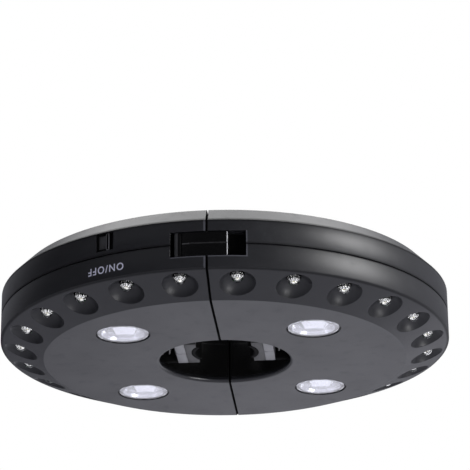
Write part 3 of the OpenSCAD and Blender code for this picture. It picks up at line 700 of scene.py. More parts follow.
# copies of one shape on an arc about the disc's axis, each turned to face outward
def makeArcTree():
    tree = Tree("copiesOnArc", {"Shape": "Object", "Count": "Int", "Radius": "Float", "First Angle": "Float",
                                "Step Angle": "Float", "Height": "Float", "Material": "Material"})
    index = tree.add("GeometryNodeInputIndex")
    angle = tree.maths("ADD", tree.value("First Angle"), tree.maths("MULTIPLY", index, tree.value("Step Angle")))
    radius = tree.value("Radius")
    place = tree.add("ShaderNodeCombineXYZ", {}, {
        "X": tree.maths("MULTIPLY", radius, tree.maths("COSINE", angle)),
        "Y": tree.maths("MULTIPLY", radius, tree.maths("SINE", angle)), "Z": tree.value("Height")})
    points = tree.add("GeometryNodePoints", {}, {"Count": tree.value("Count"), "Position": place})
    shape = tree.add("GeometryNodeObjectInfo", {"transform_space": "ORIGINAL"}, {"Object": tree.value("Shape")},
                     "Geometry")
    facing = tree.add("ShaderNodeCombineXYZ", {}, {"Z": angle})
    tree.end(tree.add("GeometryNodeInstanceOnPoints", {}, {"Points": points, "Instance": shape, "Rotation": facing}))
    return tree


# round wire wound along local z, from one radius to another
def makeSpringTree():
    tree = Tree("woundSpring", {"Turns": "Float", "Start Radius": "Float", "End Radius": "Float", "Length": "Float",
                                "Wire": "Float", "Sides": "Int", "Material": "Material"})
    spiral = tree.add("GeometryNodeCurveSpiral", {}, {
        "Resolution": 28, "Rotations": tree.value("Turns"), "Start Radius": tree.value("Start Radius"),
        "End Radius": tree.value("End Radius"), "Height": tree.value("Length")})
    section = tree.add("GeometryNodeCurvePrimitiveCircle", {}, {
        "Resolution": tree.value("Sides"), "Radius": tree.maths("MULTIPLY", tree.value("Wire"), 0.5)})
    tree.end(tree.add("GeometryNodeCurveToMesh", {}, {"Curve": spiral, "Profile Curve": section, "Fill Caps": True}))
    return tree


arcTree = makeArcTree()
springTree = makeSpringTree()


# the tree's result as a plain mesh
def grown(name, tree, values):
    carrier = inScene(bpy.data.objects.new(name, bpy.data.meshes.new(name)))
    modifier = carrier.modifiers.new("grow", "NODES")
    modifier.node_group = tree.group
    for title, value in values.items():
        modifier[tree.keys[title]] = value
    mesh = asMesh(carrier)
    mesh.name = name
    return mesh


# one mesh of several, each put in its place, all in metres
def together(name, parts, sharp=38):
    shape = bmesh.new()
    paints = []
    for mesh, move in parts:
        paints += [paint for paint in mesh.materials if paint not in paints]
        start = len(shape.faces)
        mesh.transform(move)
        shape.from_mesh(mesh)
        shape.faces.ensure_lookup_table()
        index = [paints.index(paint) for paint in mesh.materials]
        for face in shape.faces[start:]:
            face.material_index = index[face.material_index]
    mesh = bpy.data.meshes.new(name)
    bmesh.ops.recalc_face_normals(shape, faces=shape.faces)
    shape.to_mesh(mesh)
    shape.free()
    return shaded(mesh, paints, sharp)


# copies on one or more arcs, for one side of the disc; rows are (radius, first angle, step angle, count)
def onArcs(name, shapes, rows, height, side, sharp=38):
    parts = []
    for shapeMesh in shapes:
        source = inScene(bpy.data.objects.new(name + "Source", shapeMesh))
        for radius, first, step, count in rows:
            start = math.radians(first + (180 if side == "left" else 0))
            values = {"Shape": source, "Count": count, "Radius": radius * mm, "First Angle": start,
                      "Step Angle": math.radians(step), "Height": height * mm, "Material": shapeMesh.materials[0]}
            parts.append((grown(name, arcTree, values), Matrix()))
        bpy.data.objects.remove(source)
    return together(name, parts, sharp)


print("tools ready")

# small clear lamps: a resin dome over a lead frame with its cup, prongs, post, anvil and bond wire; the row is
# (radius, first angle, step angle, count), and a lead is (from and to x, half width, start)
ledSettings = {
    "row": (90.8, -82.5, 15, 12), "tip": 4.2, "sharp": 20, "steps": 12,
    "cup": ((0, 2.6), (0.4, 2.6), (0.75, 1.8), (0.93, 1.8), (0.87, 2.75), (0.65, 3.35), (0, 3.35)),
    "prong": {"count": 13, "from": (0.95, 1.9), "to": (2.3, 3.7), "steps": (0, 0.4, 0.75, 1), "sway": 0.12,
              "widths": (0.24, 0.36), "thick": 0.16, "sides": 6, "squareness": 1.2},
    "leads": ((-0.1, 1.0, 0.55, 2.9), (-1.5, -0.95, 0.35, 2.2)), "leadEnd": 8.55, "leadRound": 0.08,
    "wire": {"from": -1.2, "z": 2.2, "sag": 0.9, "fade": 0.4, "thick": 0.1, "steps": 8, "sides": 6},
}
domeSettings = {"steps": 32, "profile": (
    (0, 0), (0, 2.5, 2.5, -82.5, 0, 11), (2.5, 7.5), (2.8, 7.6), (2.9, 7.7), (2.9, 8.5), (2.8, 8.6), (0, 8.6))}
dieSettings = {"steps": 12, "profile": ((0, 2.05), (0.35, 2.12), (0.6, 2.35), (0.62, 2.55), (0, 2.56))}


def ledMetal(s):
    shape = bmesh.new()
    turned(shape, s["cup"], s["steps"])
    # bright prongs round the cup, leaning outward
    prong = s["prong"]
    (r0, z0), (r1, z1) = prong["from"], prong["to"]
    for k in range(prong["count"]):
        facing = turnAbout("Z", 360 * k / prong["count"])
        sway = prong["sway"] * (1 if k % 2 else -1)
        path = [facing @ Vector((r0 + (r1 - r0) * t, sway * t, z0 + (z1 - z0) * t)) for t in prong["steps"]]
        bar(shape, path, prong["widths"][k % 2], prong["thick"], facing @ Vector((1, 0, 0)), prong["sides"],
            prong["squareness"])
    for near, far, half, start in s["leads"]:
        block(shape, (near, -half, start), (far, half, s["leadEnd"]), s["leadRound"])
    wire = s["wire"]
    path = []
    for k in range(wire["steps"] + 1):
        t = k / wire["steps"]
        sag = wire["sag"] * math.sin(math.pi * t) * (1 - wire["fade"] * t)
        path.append((wire["from"] * (1 - t), 0, wire["z"] - sag + t))
    bar(shape, path, wire["thick"], wire["thick"], Vector((0, 1, 0)), wire["sides"], 2.0)
    return meshFrom("ledMetal", shape, [plains["ledFrame"]], s["sharp"])


def ledDome(s):
    return turnedMesh("ledDome", s, clears["clearResin"])


def ledDie(s):
    return turnedMesh("ledDie", s, plains["phosphor"])


# draws a lamp part at every place in the row
def inRow(name, draw):
    return lambda s, side: onArcs(name, [draw(s)], [ledSettings["row"]], ledSettings["tip"], side)


onBothSides(("ledDomes", inRow("ledDomes", ledDome), domeSettings, "half", "leds", "led_resin"),
            ("ledFrames", inRow("ledFrames", ledMetal), ledSettings, "half", None, None),
            ("ledDies", inRow("ledDies", ledDie), dieSettings, "half", None, None))
print("small lamps made")

# large lamps: ringed clear cover, silvered cup that runs from a round mouth to a square base, emitter
lampRow = (58.1, -45, 90, 2)
coverSettings = {"steps": 96, "sharp": 21, "profile": (
    (0, 0.25), (10.7, 0.25), (10.9, 0.25), (11.0, 0.65, 0.4, -80, 0), (11.4, 2.4), (12.7, 2.4), (12.8, 2.5),
    (12.8, 3.7), (12.7, 3.8), (11.05, 3.8), (10.95, 3.7), (10.95, 1.15), (10.85, 1), (10.55, 0.95), (10.35, 1),
    (10.05, 0.95), (9.85, 1), (9.55, 0.95), (9.35, 1), (9.15, 1), (0, 1))}
cupSettings = {"mouth": ((10.8, 1.25), (10.5, 1.95), (10.0, 2.0), (9.75, 2.65), (9.35, 2.7), (9.15, 3.5),
                         (8.95, 3.6)),
               "widest": 10.93, "reach": (8.4, 5.6), "flat": 3.9, "widen": 0.65, "inCorner": 0.25,
               "corner": (8.9, 7.6), "z": (3.7, 10.2), "wall": 0.35, "behind": (0.15, 0.25), "rings": 15,
               "flatSteps": 6, "cornerSteps": 18, "leastBulge": 0.05, "pebble": 0.2, "plate": (-0.02, 0.1),
               "plateGap": 0.05, "turn": 45, "sharp": 24}
emitterSettings = {"half": 3.0, "plateZ": (10.2, 10.75), "round": 0.15, "steps": 32,
                   "dam": ((2.4, 10.3), (2.35, 9.95), (1.9, 9.95), (1.9, 10.3)),
                   "dome": {"radius": 1.85, "rise": 0.75, "steps": 8, "sunk": 0.05}}


# a quarter of the cup's section: a flat on each side of a pebbled corner, as (x, y, pebble)
def cupQuarter(reach, flat, corner, flatSteps, cornerSteps):
    middle = Vector((corner, corner)) * math.sqrt(0.5)
    first, last = Vector((reach, flat)), Vector((flat, reach))
    control = middle * 2 - (first + last) / 2
    points = [(reach, flat * k / flatSteps, 0) for k in range(flatSteps)]
    for k in range(cornerSteps + 1):
        t = k / cornerSteps
        point = first * (1 - t) ** 2 + control * 2 * t * (1 - t) + last * t * t
        points.append((point.x, point.y, 0 if k in (0, cornerSteps) else 1))
    return points + [(flat * (flatSteps - k) / flatSteps, reach, 0) for k in range(1, flatSteps)]


# a whole section; pebbles push every second pair of corner points in or out, swapped from ring to ring
def cupRing(s, reach, flat, corner, z, ring=0, pebble=0, grow=0):
    quarter = cupQuarter(reach + grow, flat, corner + grow, s["flatSteps"], s["cornerSteps"])
    points = []
    for turn in range(4):
        facing = turnAbout("Z", 90 * turn)
        for k, (x, y, bumpy) in enumerate(quarter):
            push = 1 + bumpy * pebble * (1 if (k // 2 + ring) % 2 else -1) / corner
            points.append(facing @ Vector((x * push, y * push, z)))
    return points


# reach of the flats, half their width, reach of the corners and height, at one ring
def cupSizes(s, ring):
    t = ring / s["rings"]
    reach, corner, z = (s[key][0] + (s[key][1] - s[key][0]) * t for key in ("reach", "corner", "z"))
    flat = min(reach - s["inCorner"], s["flat"] + s["widen"] * (z - s["z"][0]))
    return reach, flat, max(corner, (reach + flat) * math.sqrt(0.5) + s["leastBulge"]), z


def lensCup(s):
    shape = bmesh.new()
    inner, outer = [], []
    atMouth, atFunnel = s["behind"]
    # a few round steps at the mouth, then a funnel with four flats and pebbled corners
    for r, z in s["mouth"]:
        first = [spot.xy.normalized() for spot in cupRing(s, s["reach"][0], s["flat"], s["corner"][0], 0)]
        inner.append([Vector((*(spot * r), z)) for spot in first])
        outer.append([Vector((*(spot * min(r + s["wall"], s["widest"])), z + atMouth)) for spot in first])
    for ring in range(s["rings"] + 1):
        reach, flat, corner, z = cupSizes(s, ring)
        pebble = s["pebble"] if 0 < ring < s["rings"] else 0
        inner.append(cupRing(s, reach, flat, corner, z, ring, pebble))
        outer.append(cupRing(s, reach, flat, corner, z + atFunnel, ring, 0, s["wall"]))
    loft(shape, inner + list(reversed(outer)), closed=True)
    return meshFrom("lensCup", shape, [plains["silveredRim"]], s["sharp"])


# brighter plates on the cup's four flats: the same silver as the rim, only lighter, a painted highlight
def cupFlats(s):
    shape = bmesh.new()
    sizes = [cupSizes(s, ring) for ring in range(s["rings"] + 1)]
    gap = s["plateGap"]
    for turn in range(4):
        facing = turnAbout("Z", 90 * turn)
        skins = []
        for lift in s["plate"]:
            edge = [Vector((reach + lift, flat - gap, z)) for reach, flat, corner, z in sizes]
            edge += [Vector((reach + lift, gap - flat, z)) for reach, flat, corner, z in reversed(sizes)]
            skins.append([facing @ point for point in edge])
        loft(shape, skins, capped=True)
    return meshFrom("cupFlats", shape, [plains["silveredCup"]], s["sharp"])


def emitterPlate(s):
    shape = bmesh.new()
    half, (low, high) = s["half"], s["plateZ"]
    block(shape, (-half, -half, low), (half, half, high), s["round"])
    turned(shape, s["dam"], s["steps"], closed=True)
    return meshFrom("emitterPlate", shape, [plains["ceramic"]])


def emitterDome(s):
    shape = bmesh.new()
    base, dome = s["plateZ"][0], s["dome"]
    angles = [math.pi / 2 * k / dome["steps"] for k in range(dome["steps"] + 1)]
    curve = [(dome["radius"] * math.sin(a), base - dome["rise"] * math.cos(a)) for a in angles]
    turned(shape, curve + [(0, base + dome["sunk"])], s["steps"])
    return meshFrom("emitterDome", shape, [plains["phosphor"]])


def lensCovers(s, side):
    cover = turnedMesh("lensCover", s, clears["clearCover"], s["sharp"])
    return onArcs("lensCovers", [cover], [lampRow], 0, side, s["sharp"])


# cups and emitters keep square to the case, so each is turned back by its own angle
def inLamps(name, *draws):
    def drawn(s, side):
        shapes = [draw(s) for draw in draws]
        for mesh in shapes:
            mesh.transform(turnAbout("Z", cupSettings["turn"]))
        return onArcs(name, shapes, [lampRow], 0, side, cupSettings["sharp"])
    return drawn


onBothSides(
    ("lensCovers", lensCovers, coverSettings, "half", "lenses", "lens"),
    ("lensCups", inLamps("lensCups", lensCup, cupFlats), cupSettings, "half", "reflectors", "reflector"),
    ("emitterPlates", inLamps("emitterPlates", emitterPlate), emitterSettings, "half", "emitters", "phosphor"),
    ("emitterDomes", inLamps("emitterDomes", emitterDome), emitterSettings, "half", None, "phosphor"))
print("large lamps made")

# case screws: domed heads with a cross cut, and a coarse thread; thread steps are (share of shank, share of pitch)
screwSettings = {"seat": 24.15, "head": 2.6, "headHeight": 1.8, "rim": 0.9, "chamfer": 0.1, "shank": 1.2, "neck": 0.2,
                 "length": 13, "pitch": 1.1, "thread": ((0.78, 0), (1.03, 0.35), (0.78, 0.6)), "plain": 1.5,
                 "point": (0.4, 0.3), "lead": 1.0, "roundAt": (15, 30, 45, 60, 75), "steps": 28,
                 "rows": ((76.94, -81.03, 162.06, 2), (80.45, -32.3, 64.6, 2), (36.9, -57.2, 114.4, 2)),
                 "cross": {"long": 0.62, "narrow": 0.42, "deep": 1.2, "above": 0.4, "taper": (0.45, 1.05),
                           "narrowing": 0.4, "bars": ((0, 1.02, 0), (90, 1.0, 0.003))}}


def screwShape(s):
    shape = bmesh.new()
    head, high, rim, edge, shank, tip = s["head"], s["headHeight"], s["rim"], s["chamfer"], s["shank"], -s["length"]
    profile = [(0, tip), (shank * s["point"][0], tip + s["point"][1])]
    for k in range(int((s["length"] - s["plain"]) / s["pitch"])):
        z = tip + s["lead"] + k * s["pitch"]
        profile += [(shank * share, z + s["pitch"] * rise) for share, rise in s["thread"]]
    profile += [(shank, -s["neck"]), (shank, 0), (head - edge, 0), (head, edge), (head, high - rim)]
    for a in map(math.radians, s["roundAt"]):
        profile.append((head * math.cos(a), high - rim + rim * math.sin(a)))
    turned(shape, profile + [(0, high)], s["steps"])
    return meshFrom("screw", shape, [plains["brightSteel"]])


# two tapered bars across each other, the second a hair larger so no faces fall together
def crossCutter(s):
    shape = bmesh.new()
    cross = s["cross"]
    long, top, low = s["head"] * cross["long"], s["headHeight"] + cross["above"], s["headHeight"] - cross["deep"]
    for turn, grow, lift in cross["bars"]:
        facing, width = turnAbout("Z", turn), cross["narrow"] * grow
        rings = []
        for z, k in zip((low, top), cross["taper"]):
            rings.append([facing @ Vector((x * long * k, y * width * (1 + cross["narrowing"] * (k - 1)), z + lift))
                          for x, y in ((-1, -1), (1, -1), (1, 1), (-1, 1))])
        loft(shape, rings, capped=True)
    return meshFrom("crossCutter", shape, [plains["brightSteel"]])


def cutWith(mesh, cutter):
    blank, tool = (inScene(bpy.data.objects.new(name, data)) for name, data in (("blank", mesh), ("cutter", cutter)))
    cut = blank.modifiers.new("cut", "BOOLEAN")
    cut.object = tool
    cut.operation = "DIFFERENCE"
    cut.solver = "EXACT"
    cut.use_self = True
    result = asMesh(blank)
    bpy.data.objects.remove(tool)
    return result


screwMesh = cutWith(screwShape(screwSettings), crossCutter(screwSettings))


def caseScrews(s, side):
    return onArcs("caseScrews", [screwMesh], s["rows"], s["seat"], side)


onBothSides(("caseScrews", caseScrews, screwSettings, "half", "case_screws", "steel"))
print("screws made")

# springs behind the jaws, which shorten as a jaw slides out
jawSpringSettings = {"back": 47, "front": 22, "y": 5, "z": 9.8, "radius": 3.2, "wire": 0.9, "turns": 8, "sides": 10,
                     "keep": 0.6}


# a wire spring grown along local z, in metres
def woundSpring(name, radii, length, turns, wire, count, paint):
    return grown(name, springTree, {
        "Turns": turns, "Start Radius": radii[0] * mm, "End Radius": radii[1] * mm, "Length": length * mm,
        "Wire": wire * mm, "Sides": count, "Material": paint})


def jawSprings(s, side):
    sign, wire = sides[side], s["wire"]
    parts = []
    for y in (-s["y"], s["y"]):
        spring = woundSpring("jawSpring", (s["radius"], s["radius"]), s["back"] - s["front"] - wire, s["turns"], wire,
                             s["sides"], plains["springSteel"])
        place = Matrix.Translation(Vector((sign * (s["back"] - wire / 2), y, s["z"])) * mm)
        parts.append((spring, place @ turnAbout("Y", -90 * sign)))
    return together("jawSprings", parts)


for side, sign in sides.items():
    s = jawSpringSettings
    piece = link(f"jawSprings_{side}", jawSprings(s, side), f"{side}_half", (f"jaw_springs_{side}",))
    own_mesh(piece)

# battery cells, with their contact springs and plates; bays are (x, button at the front)
cellSettings = {"bays": ((52.45, False), (67.55, True)), "z": 26.35, "bayEnd": 28.25, "steps": 48,
                "profile": ((0, 0.15), (5.65, 0.15), (5.95, 0), (6.75, 0.5, 0.5, -90, 0), (7.25, 40),
                            (6.75, 48.5, 0.5, 0, 90), (5.95, 49), (5.75, 48.7), (3.4, 48.7), (3, 49), (2.75, 49.2),
                            (2.75, 50.25), (2.5, 50.5), (0, 50.5)),
                "faces": {"base": 2, "wrap": 6, "band": 7, "button": 6}}
contactSettings = {"radius": (4.4, 2.6), "turns": 4, "wire": 0.8, "sides": 8, "length": 5.0, "pressed": 0.25,
                   "coil": 4.4, "plate": 0.5, "plateZ": (19.4, 32.9), "plateX": (45.1, 74.9), "plateRound": 0.12,
                   "ridge": ((5.2, -0.05), (5.4, 0.12), (5.7, 0.12), (5.9, -0.05)), "ridgeSteps": 40}


def cellShape(s):
    shape = bmesh.new()
    slots = [slot for slot, part in ((0, "base"), (1, "wrap"), (2, "band"), (0, "button"))
             for face in range(s["faces"][part])]
    turned(shape, profileOf(s["profile"]), s["steps"], slots=slots)
    return meshFrom("cell", shape, [plains["nickelPlate"], plains["cellWrap"], plains["cellBand"]])


# a move from a cell's own frame, standing on its base, to its place in the bay
def cellPlace(x, outer, sign, along):
    start = Matrix.Translation(Vector((sign * x, 0, cellSettings["z"])) * mm)
    reach = Matrix.Translation(Vector((0, along - cellSettings["bayEnd"], 0)) * mm)
    return start @ turnAbout("Z", 0 if outer else 180) @ reach @ turnAbout("X", -90)


for side, sign in sides.items():
    body, c = f"{side}_half", contactSettings
    cellStart, springStart = c["length"] + c["plate"] - c["pressed"], c["plate"] + c["wire"] / 2
    cells, springs = [], []
    for x, outer in cellSettings["bays"]:
        cells.append((cellShape(cellSettings), cellPlace(x, outer, sign, cellStart)))
        spring = woundSpring("contactSpring", c["radius"], c["coil"], c["turns"], c["wire"], c["sides"],
                             plains["nickelPlate"])
        springs.append((spring, cellPlace(x, outer, sign, springStart)))
    link(f"cells_{side}", together("cells", cells), body, (f"cells_{side}",))
    link(f"contactSprings_{side}", together("contactSprings", springs), body, (f"contact_springs_{side}",))
print("cells and springs made")


# stamped plates at both ends of a bay, with a round ridge about each contact
def contactPlates(c, side):
    shape = bmesh.new()
    face = cellSettings["bayEnd"] - c["plate"]
    for end in (-1, 1):
        near, far = sorted((end * face, end * cellSettings["bayEnd"]))
        low, high = (-c["plateX"][1], near, c["plateZ"][0]), (-c["plateX"][0], far, c["plateZ"][1])
        block(shape, low, high, c["plateRound"], toSide(side))
        for x, outer in cellSettings["bays"]:
            place = Matrix.Translation((-x, end * face, cellSettings["z"]))
            turned(shape, c["ridge"], c["ridgeSteps"], toSide(side) @ place @ turnAbout("X", 90 * end), closed=True)
    return meshFrom("contactPlates", shape, [plains["nickelPlate"]])


onBothSides(("contactPlates", contactPlates, contactSettings, "half", "contact_plates", "steel"))

# grip jaws: grey slider in two pads, dark arms, a hollowed face and a ribbed rubber grip; a rib's steps are
# (share of its pitch, share of its depth)
jawSettings = {"z": (4.3, 15.3), "halfWidth": 12.5, "back": 22, "front": 17.5, "groove": 0.4,
               "round": {"pads": 0.3, "core": 0.2, "arms": 0.5, "face": 0.25, "grip": 0.1},
               "core": {"half": 1, "inset": 0.3, "rise": 0.5}, "armEnd": 36, "arm": 2.9, "armOverlap": 0.25,
               "faceX": 12.29, "faceRadius": 15.03, "faceAngle": 35, "faceSteps": 24, "padRadius": 13,
               "padAngle": 34.5, "padSteps": 20, "padInset": (0.06, 0.05), "ribs": 15, "ribDepth": 0.45,
               "rib": ((0.0, 0.75), (0.18, 0.0), (0.62, 0.0), (0.8, 1.0))}


# points along a circle about the disc's axis
def arc(radius, start, end, steps):
    return [tuple(polar(radius, start + (end - start) * k / steps).xy) for k in range(steps + 1)]


def jawSlider(s, side):
    shape = bmesh.new()
    move = toSide(side)
    low, high = s["z"]
    half, groove, back, front, rounds = s["halfWidth"], s["groove"] / 2, -s["back"], -s["front"], s["round"]
    for near, far in ((-half, -groove), (groove, half)):
        block(shape, (back, near, low), (front, far, high), rounds["pads"], move, 3)
    core, inner = s["core"]["half"], s["core"]["inset"]
    block(shape, (back + inner, -core, low + s["core"]["rise"]), (front - inner, core, high - inner), rounds["core"],
          move)
    for y in (s["arm"] - half, half):
        block(shape, (-s["armEnd"], y - s["arm"], low), (back + s["armOverlap"], y, high), rounds["arms"], move, 3,
              slot=1)
    return meshFrom("jawSlider", shape, [satins["greyPlastic"], satins["gripRubber"]])


def jawFace(s, side):
    shape = bmesh.new()
    half, angle, steps = s["halfWidth"], s["faceAngle"], s["faceSteps"]
    curve = arc(s["faceRadius"], 180 + angle, 180 - angle, steps)
    outline = [(-s["front"], -half), (-s["faceX"], -half)] + curve + [(-s["faceX"], half), (-s["front"], half)]
    prism(shape, outline, *s["z"], s["round"]["face"], toSide(side))
    return meshFrom("jawFace", shape, [satins["jawPlastic"]])


def gripPad(s, side):
    shape = bmesh.new()
    angle, count, (behind, within) = s["padAngle"], s["ribs"], s["padInset"]
    outline = arc(s["faceRadius"] - behind, 180 - angle, 180 + angle, s["padSteps"])
    step = 2 * angle / count
    for k in range(count):
        start = 180 + angle - k * step
        for at, drop in s["rib"]:
            outline.append(tuple(polar(s["padRadius"] + drop * s["ribDepth"], start - at * step).xy))
    prism(shape, outline, s["z"][0] + within, s["z"][1] - within, s["round"]["grip"], toSide(side), 2)
    return meshFrom("gripPad", shape, [satins["gripRubber"]])


onBothSides(("jawSliders", jawSlider, jawSettings, "jaw", "jaw_slider", "grey_plastic"),
            ("jawFaces", jawFace, jawSettings, "jaw", "jaw_face", "gloss_black"),
            ("gripPads", gripPad, jawSettings, "jaw", "grip_pad", "rubber"))
print("jaws made")

# latch clasp: a curved bar about its pin, with a fine groove along it; angles run from the front, to the right.
# outline points cornerPoints, leftPoints and those after groovePoint carry lighter paints, painted highlights
claspSettings = {"outer": 99.7, "inner": 95.7, "z": (12.9, 23.3), "pinRadius": 97.8, "pinAngle": -6.875,
                 "knuckle": 2.1, "end": 4.98, "round": 0.3, "grooveZ": (18.05, 18.6), "grooveDepth": 0.35,
                 "grooveSlope": 0.2, "grooveStart": -4.2, "barStart": 1.05, "barEnd": 0.25, "innerEnd": 0.3,
                 "knuckleMore": 11, "knuckleSteps": 12, "barSteps": 23, "cornerSteps": 4, "innerSteps": 12,
                 "cornerPoints": (40, 42), "groovePoint": 16, "leftPoints": (9, 12)}


def front(radius, degrees):
    return (radius * math.sin(math.radians(degrees)), -radius * math.cos(math.radians(degrees)))


def claspOutline(s, drawIn, groove):
    outer, inner = s["outer"] - drawIn, s["inner"] + drawIn
    end, corner, turn = s["end"] - math.degrees(drawIn / s["outer"]), s["round"], s["pinAngle"]
    pin = Vector(front(s["pinRadius"], turn))
    # the knuckle, from its inner side round the left end to its outer side
    count = s["knuckleSteps"]
    angles = [90 + turn + 180 * k / count for k in range(count + 1)]
    angles += [270 + turn + s["knuckleMore"] * k for k in range(1, 5)]
    points = [tuple(pin + polar(s["knuckle"] - drawIn, angle).xy) for angle in angles]
    start = turn + s["barStart"]
    for k in range(s["barSteps"] + 1):
        a = start + (end - s["barEnd"] - start) * k / s["barSteps"]
        points.append(front(outer - (groove if a > s["grooveStart"] else 0), a))
    edge = end - math.degrees(corner / outer)
    for k in range(1, s["cornerSteps"] + 1):
        t = k / s["cornerSteps"]
        a = math.radians(90 * t)
        radius = outer - corner + corner * math.cos(a) - groove * (1 - t)
        points.append(front(radius, edge + math.degrees(corner * math.sin(a) / outer)))
    points += [front(inner + corner, end), front(inner, edge)]
    last, count = turn + s["innerEnd"], s["innerSteps"]
    return points + [front(inner, edge + (last - edge) * k / count) for k in range(1, count)]


def latchClasp(s):
    shape = bmesh.new()
    low, high = s["z"]
    curve = edgeCurve(s["round"], 4)
    (g0, g1), slope = s["grooveZ"], s["grooveSlope"]
    middle = [(0, g0, 0), (0, g0 + slope, s["grooveDepth"]), (0, g1 - slope, s["grooveDepth"]), (0, g1, 0)]
    levels = [(d, low + z, 0) for d, z in curve] + middle + [(d, high - z, 0) for d, z in reversed(curve)]
    rings = [[Vector((x, y, z)) for x, y in claspOutline(s, d, g)] for d, z, g in levels]
    loft(shape, rings, capped=True)
    shape.faces.ensure_lookup_table()
    shape.faces.index_update()
    count = len(rings[0])
    for face in shape.faces[:count * (len(rings) - 1)]:
        band, k = divmod(face.index, count)
        inGroove = len(curve) <= band < len(curve) + len(middle) - 1 and k > s["groovePoint"]
        if s["cornerPoints"][0] <= k < s["cornerPoints"][1]:
            face.material_index = 2
        elif inGroove or s["leftPoints"][0] <= k < s["leftPoints"][1]:
            face.material_index = 1
    return meshFrom("latchClasp", shape, [satins["caseGloss"], satins["wornLine"], satins["wornEdge"]])


link("latchClasp", latchClasp(claspSettings), "latch", ("latch_clasp",))

# switch knob: face in a thin frame, a thicker ridge at one side, plate and stem behind; blocks are
# (low corner, high corner, rounding, steps, slot, slot of the edges), turned to the knob's place on the wall
knobSettings = {"angle": -25.6, "blocks": (
    ((-3.95, -99.0, 20.3), (1.95, -96.4, 27.7), 0.3, 2, 0, None),
    # the ridge's rounded edges take a lighter paint, a painted highlight
    ((0.45, -99.6, 20.3), (1.95, -98.0, 27.7), 0.28, 2, 2, 1),
    ((-3.95, -99.45, 20.3), (-3.35, -98.2, 27.7), 0.2, 2, 2, None),
    ((-3.95, -99.45, 20.3), (0.85, -98.2, 21.1), 0.25, 3, 2, None),
    ((-3.95, -99.45, 27.1), (0.85, -98.2, 27.7), 0.2, 2, 2, None),
    ((-6.15, -97.0, 19.5), (4.15, -96.0, 28.5), 0.15, 2, 0, None),
    ((-3, -96.4, 22), (1, -92.5, 26), 0.3, 2, 0, None))}


def switchKnob(s):
    shape = bmesh.new()
    for low, high, radius, steps, slot, edgeSlot in s["blocks"]:
        block(shape, low, high, radius, turnAbout("Z", s["angle"]), steps, slot, edgeSlot)
    return meshFrom("switchKnob", shape, [satins["knobSatin"], satins["ridgeEdge"], satins["gripRubber"]])


link("switchKnob", switchKnob(knobSettings), "switch", ("switch_knob",))

# the word for the switch, printed on the wall below it, its top toward the lamps; from and to are along the wall
printSettings = {"word": "ON/OFF", "from": -35.6, "to": -52.7, "z": (10.1, 13.4), "weight": 0.015, "spacing": 1.22,
                 "proud": 0.03, "sunk": 0.02, "wall": 100, "extrude": 0.01, "smoothness": 6}


def switchPrint(s):
    data = bpy.data.curves.new("switchPrint", "FONT")
    data.body = s["word"]
    data.offset = s["weight"]
    data.space_character = s["spacing"]
    data.extrude = s["extrude"]
    data.resolution_u = s["smoothness"]
    shape = bmesh.new()
    shape.from_mesh(asMesh(inScene(bpy.data.objects.new("switchPrint", data))))
    bmesh.ops.triangulate(shape, faces=[face for face in shape.faces if len(face.verts) > 4])
    xs, ys = ([vert.co[i] for vert in shape.verts] for i in range(2))
    left, right, bottom, top = min(xs), max(xs), min(ys), max(ys)
    for vert in shape.verts:
        across = (vert.co.x - left) / (right - left)
        rise = (vert.co.y - bottom) / (top - bottom)
        angle = math.degrees((s["from"] + (s["to"] - s["from"]) * across) / s["wall"])
        x, y = front(s["wall"] + (s["proud"] if vert.co.z > 0 else -s["sunk"]), angle)
        vert.co = (x, y, s["z"][1] + (s["z"][0] - s["z"][1]) * rise)
    return meshFrom("switchPrint", shape, [satins["printInk"]], 30)


link("switchPrint", switchPrint(printSettings), "left_half")
print("latch, switch and print made")

# battery doors: a framed panel with grip ribs and an arrow, barrel and pins at the hinge side
doorSettings = {"x": (-75.85, -43.1), "halfLength": 29.75, "z": (33.9, 35.98), "step": 0.4, "round": 0.5,
                "frame": (1.8, 2.6, 0.25), "arrow": {"x": (-65.5, -60.5), "half": 3.6, "depth": 0.3},
                "ribs": {"x": (-56.6, -47.6), "y": 7.5, "pitch": 3.0, "depth": 0.7, "ends": 1.2, "sharpness": 0.7},
                "barrel": 1.05, "pin": 0.78, "pinEnd": 31.2, "pinEdge": 0.15, "barrelEdge": 0.1}


def doorHeight(s, x, y):
    low, high = s["x"]
    edge = min(high - x, s["halfLength"] - abs(y))
    r = s["round"]
    drop = r - math.sqrt(max(0, r * r - max(0, r - edge) ** 2))
    start, stop, depth = s["frame"]
    inFrame = (min(edge, x - low) - start) / (stop - start)
    if 0 < inFrame < 1:
        drop += depth * math.sin(math.pi * inFrame)
    ribs = s["ribs"]
    inX = min(x - ribs["x"][0], ribs["x"][1] - x)
    if inX > 0 and abs(y) < ribs["y"]:
        wave = max(0, math.cos(2 * math.pi * y / ribs["pitch"])) ** ribs["sharpness"]
        drop += ribs["depth"] * min(1, inX / ribs["ends"]) * wave
    arrow = s["arrow"]
    along = (x - arrow["x"][0]) / (arrow["x"][1] - arrow["x"][0])
    if 0 < along < 1 and abs(y) < arrow["half"] * along:
        drop += arrow["depth"]
    return s["z"][1] - drop


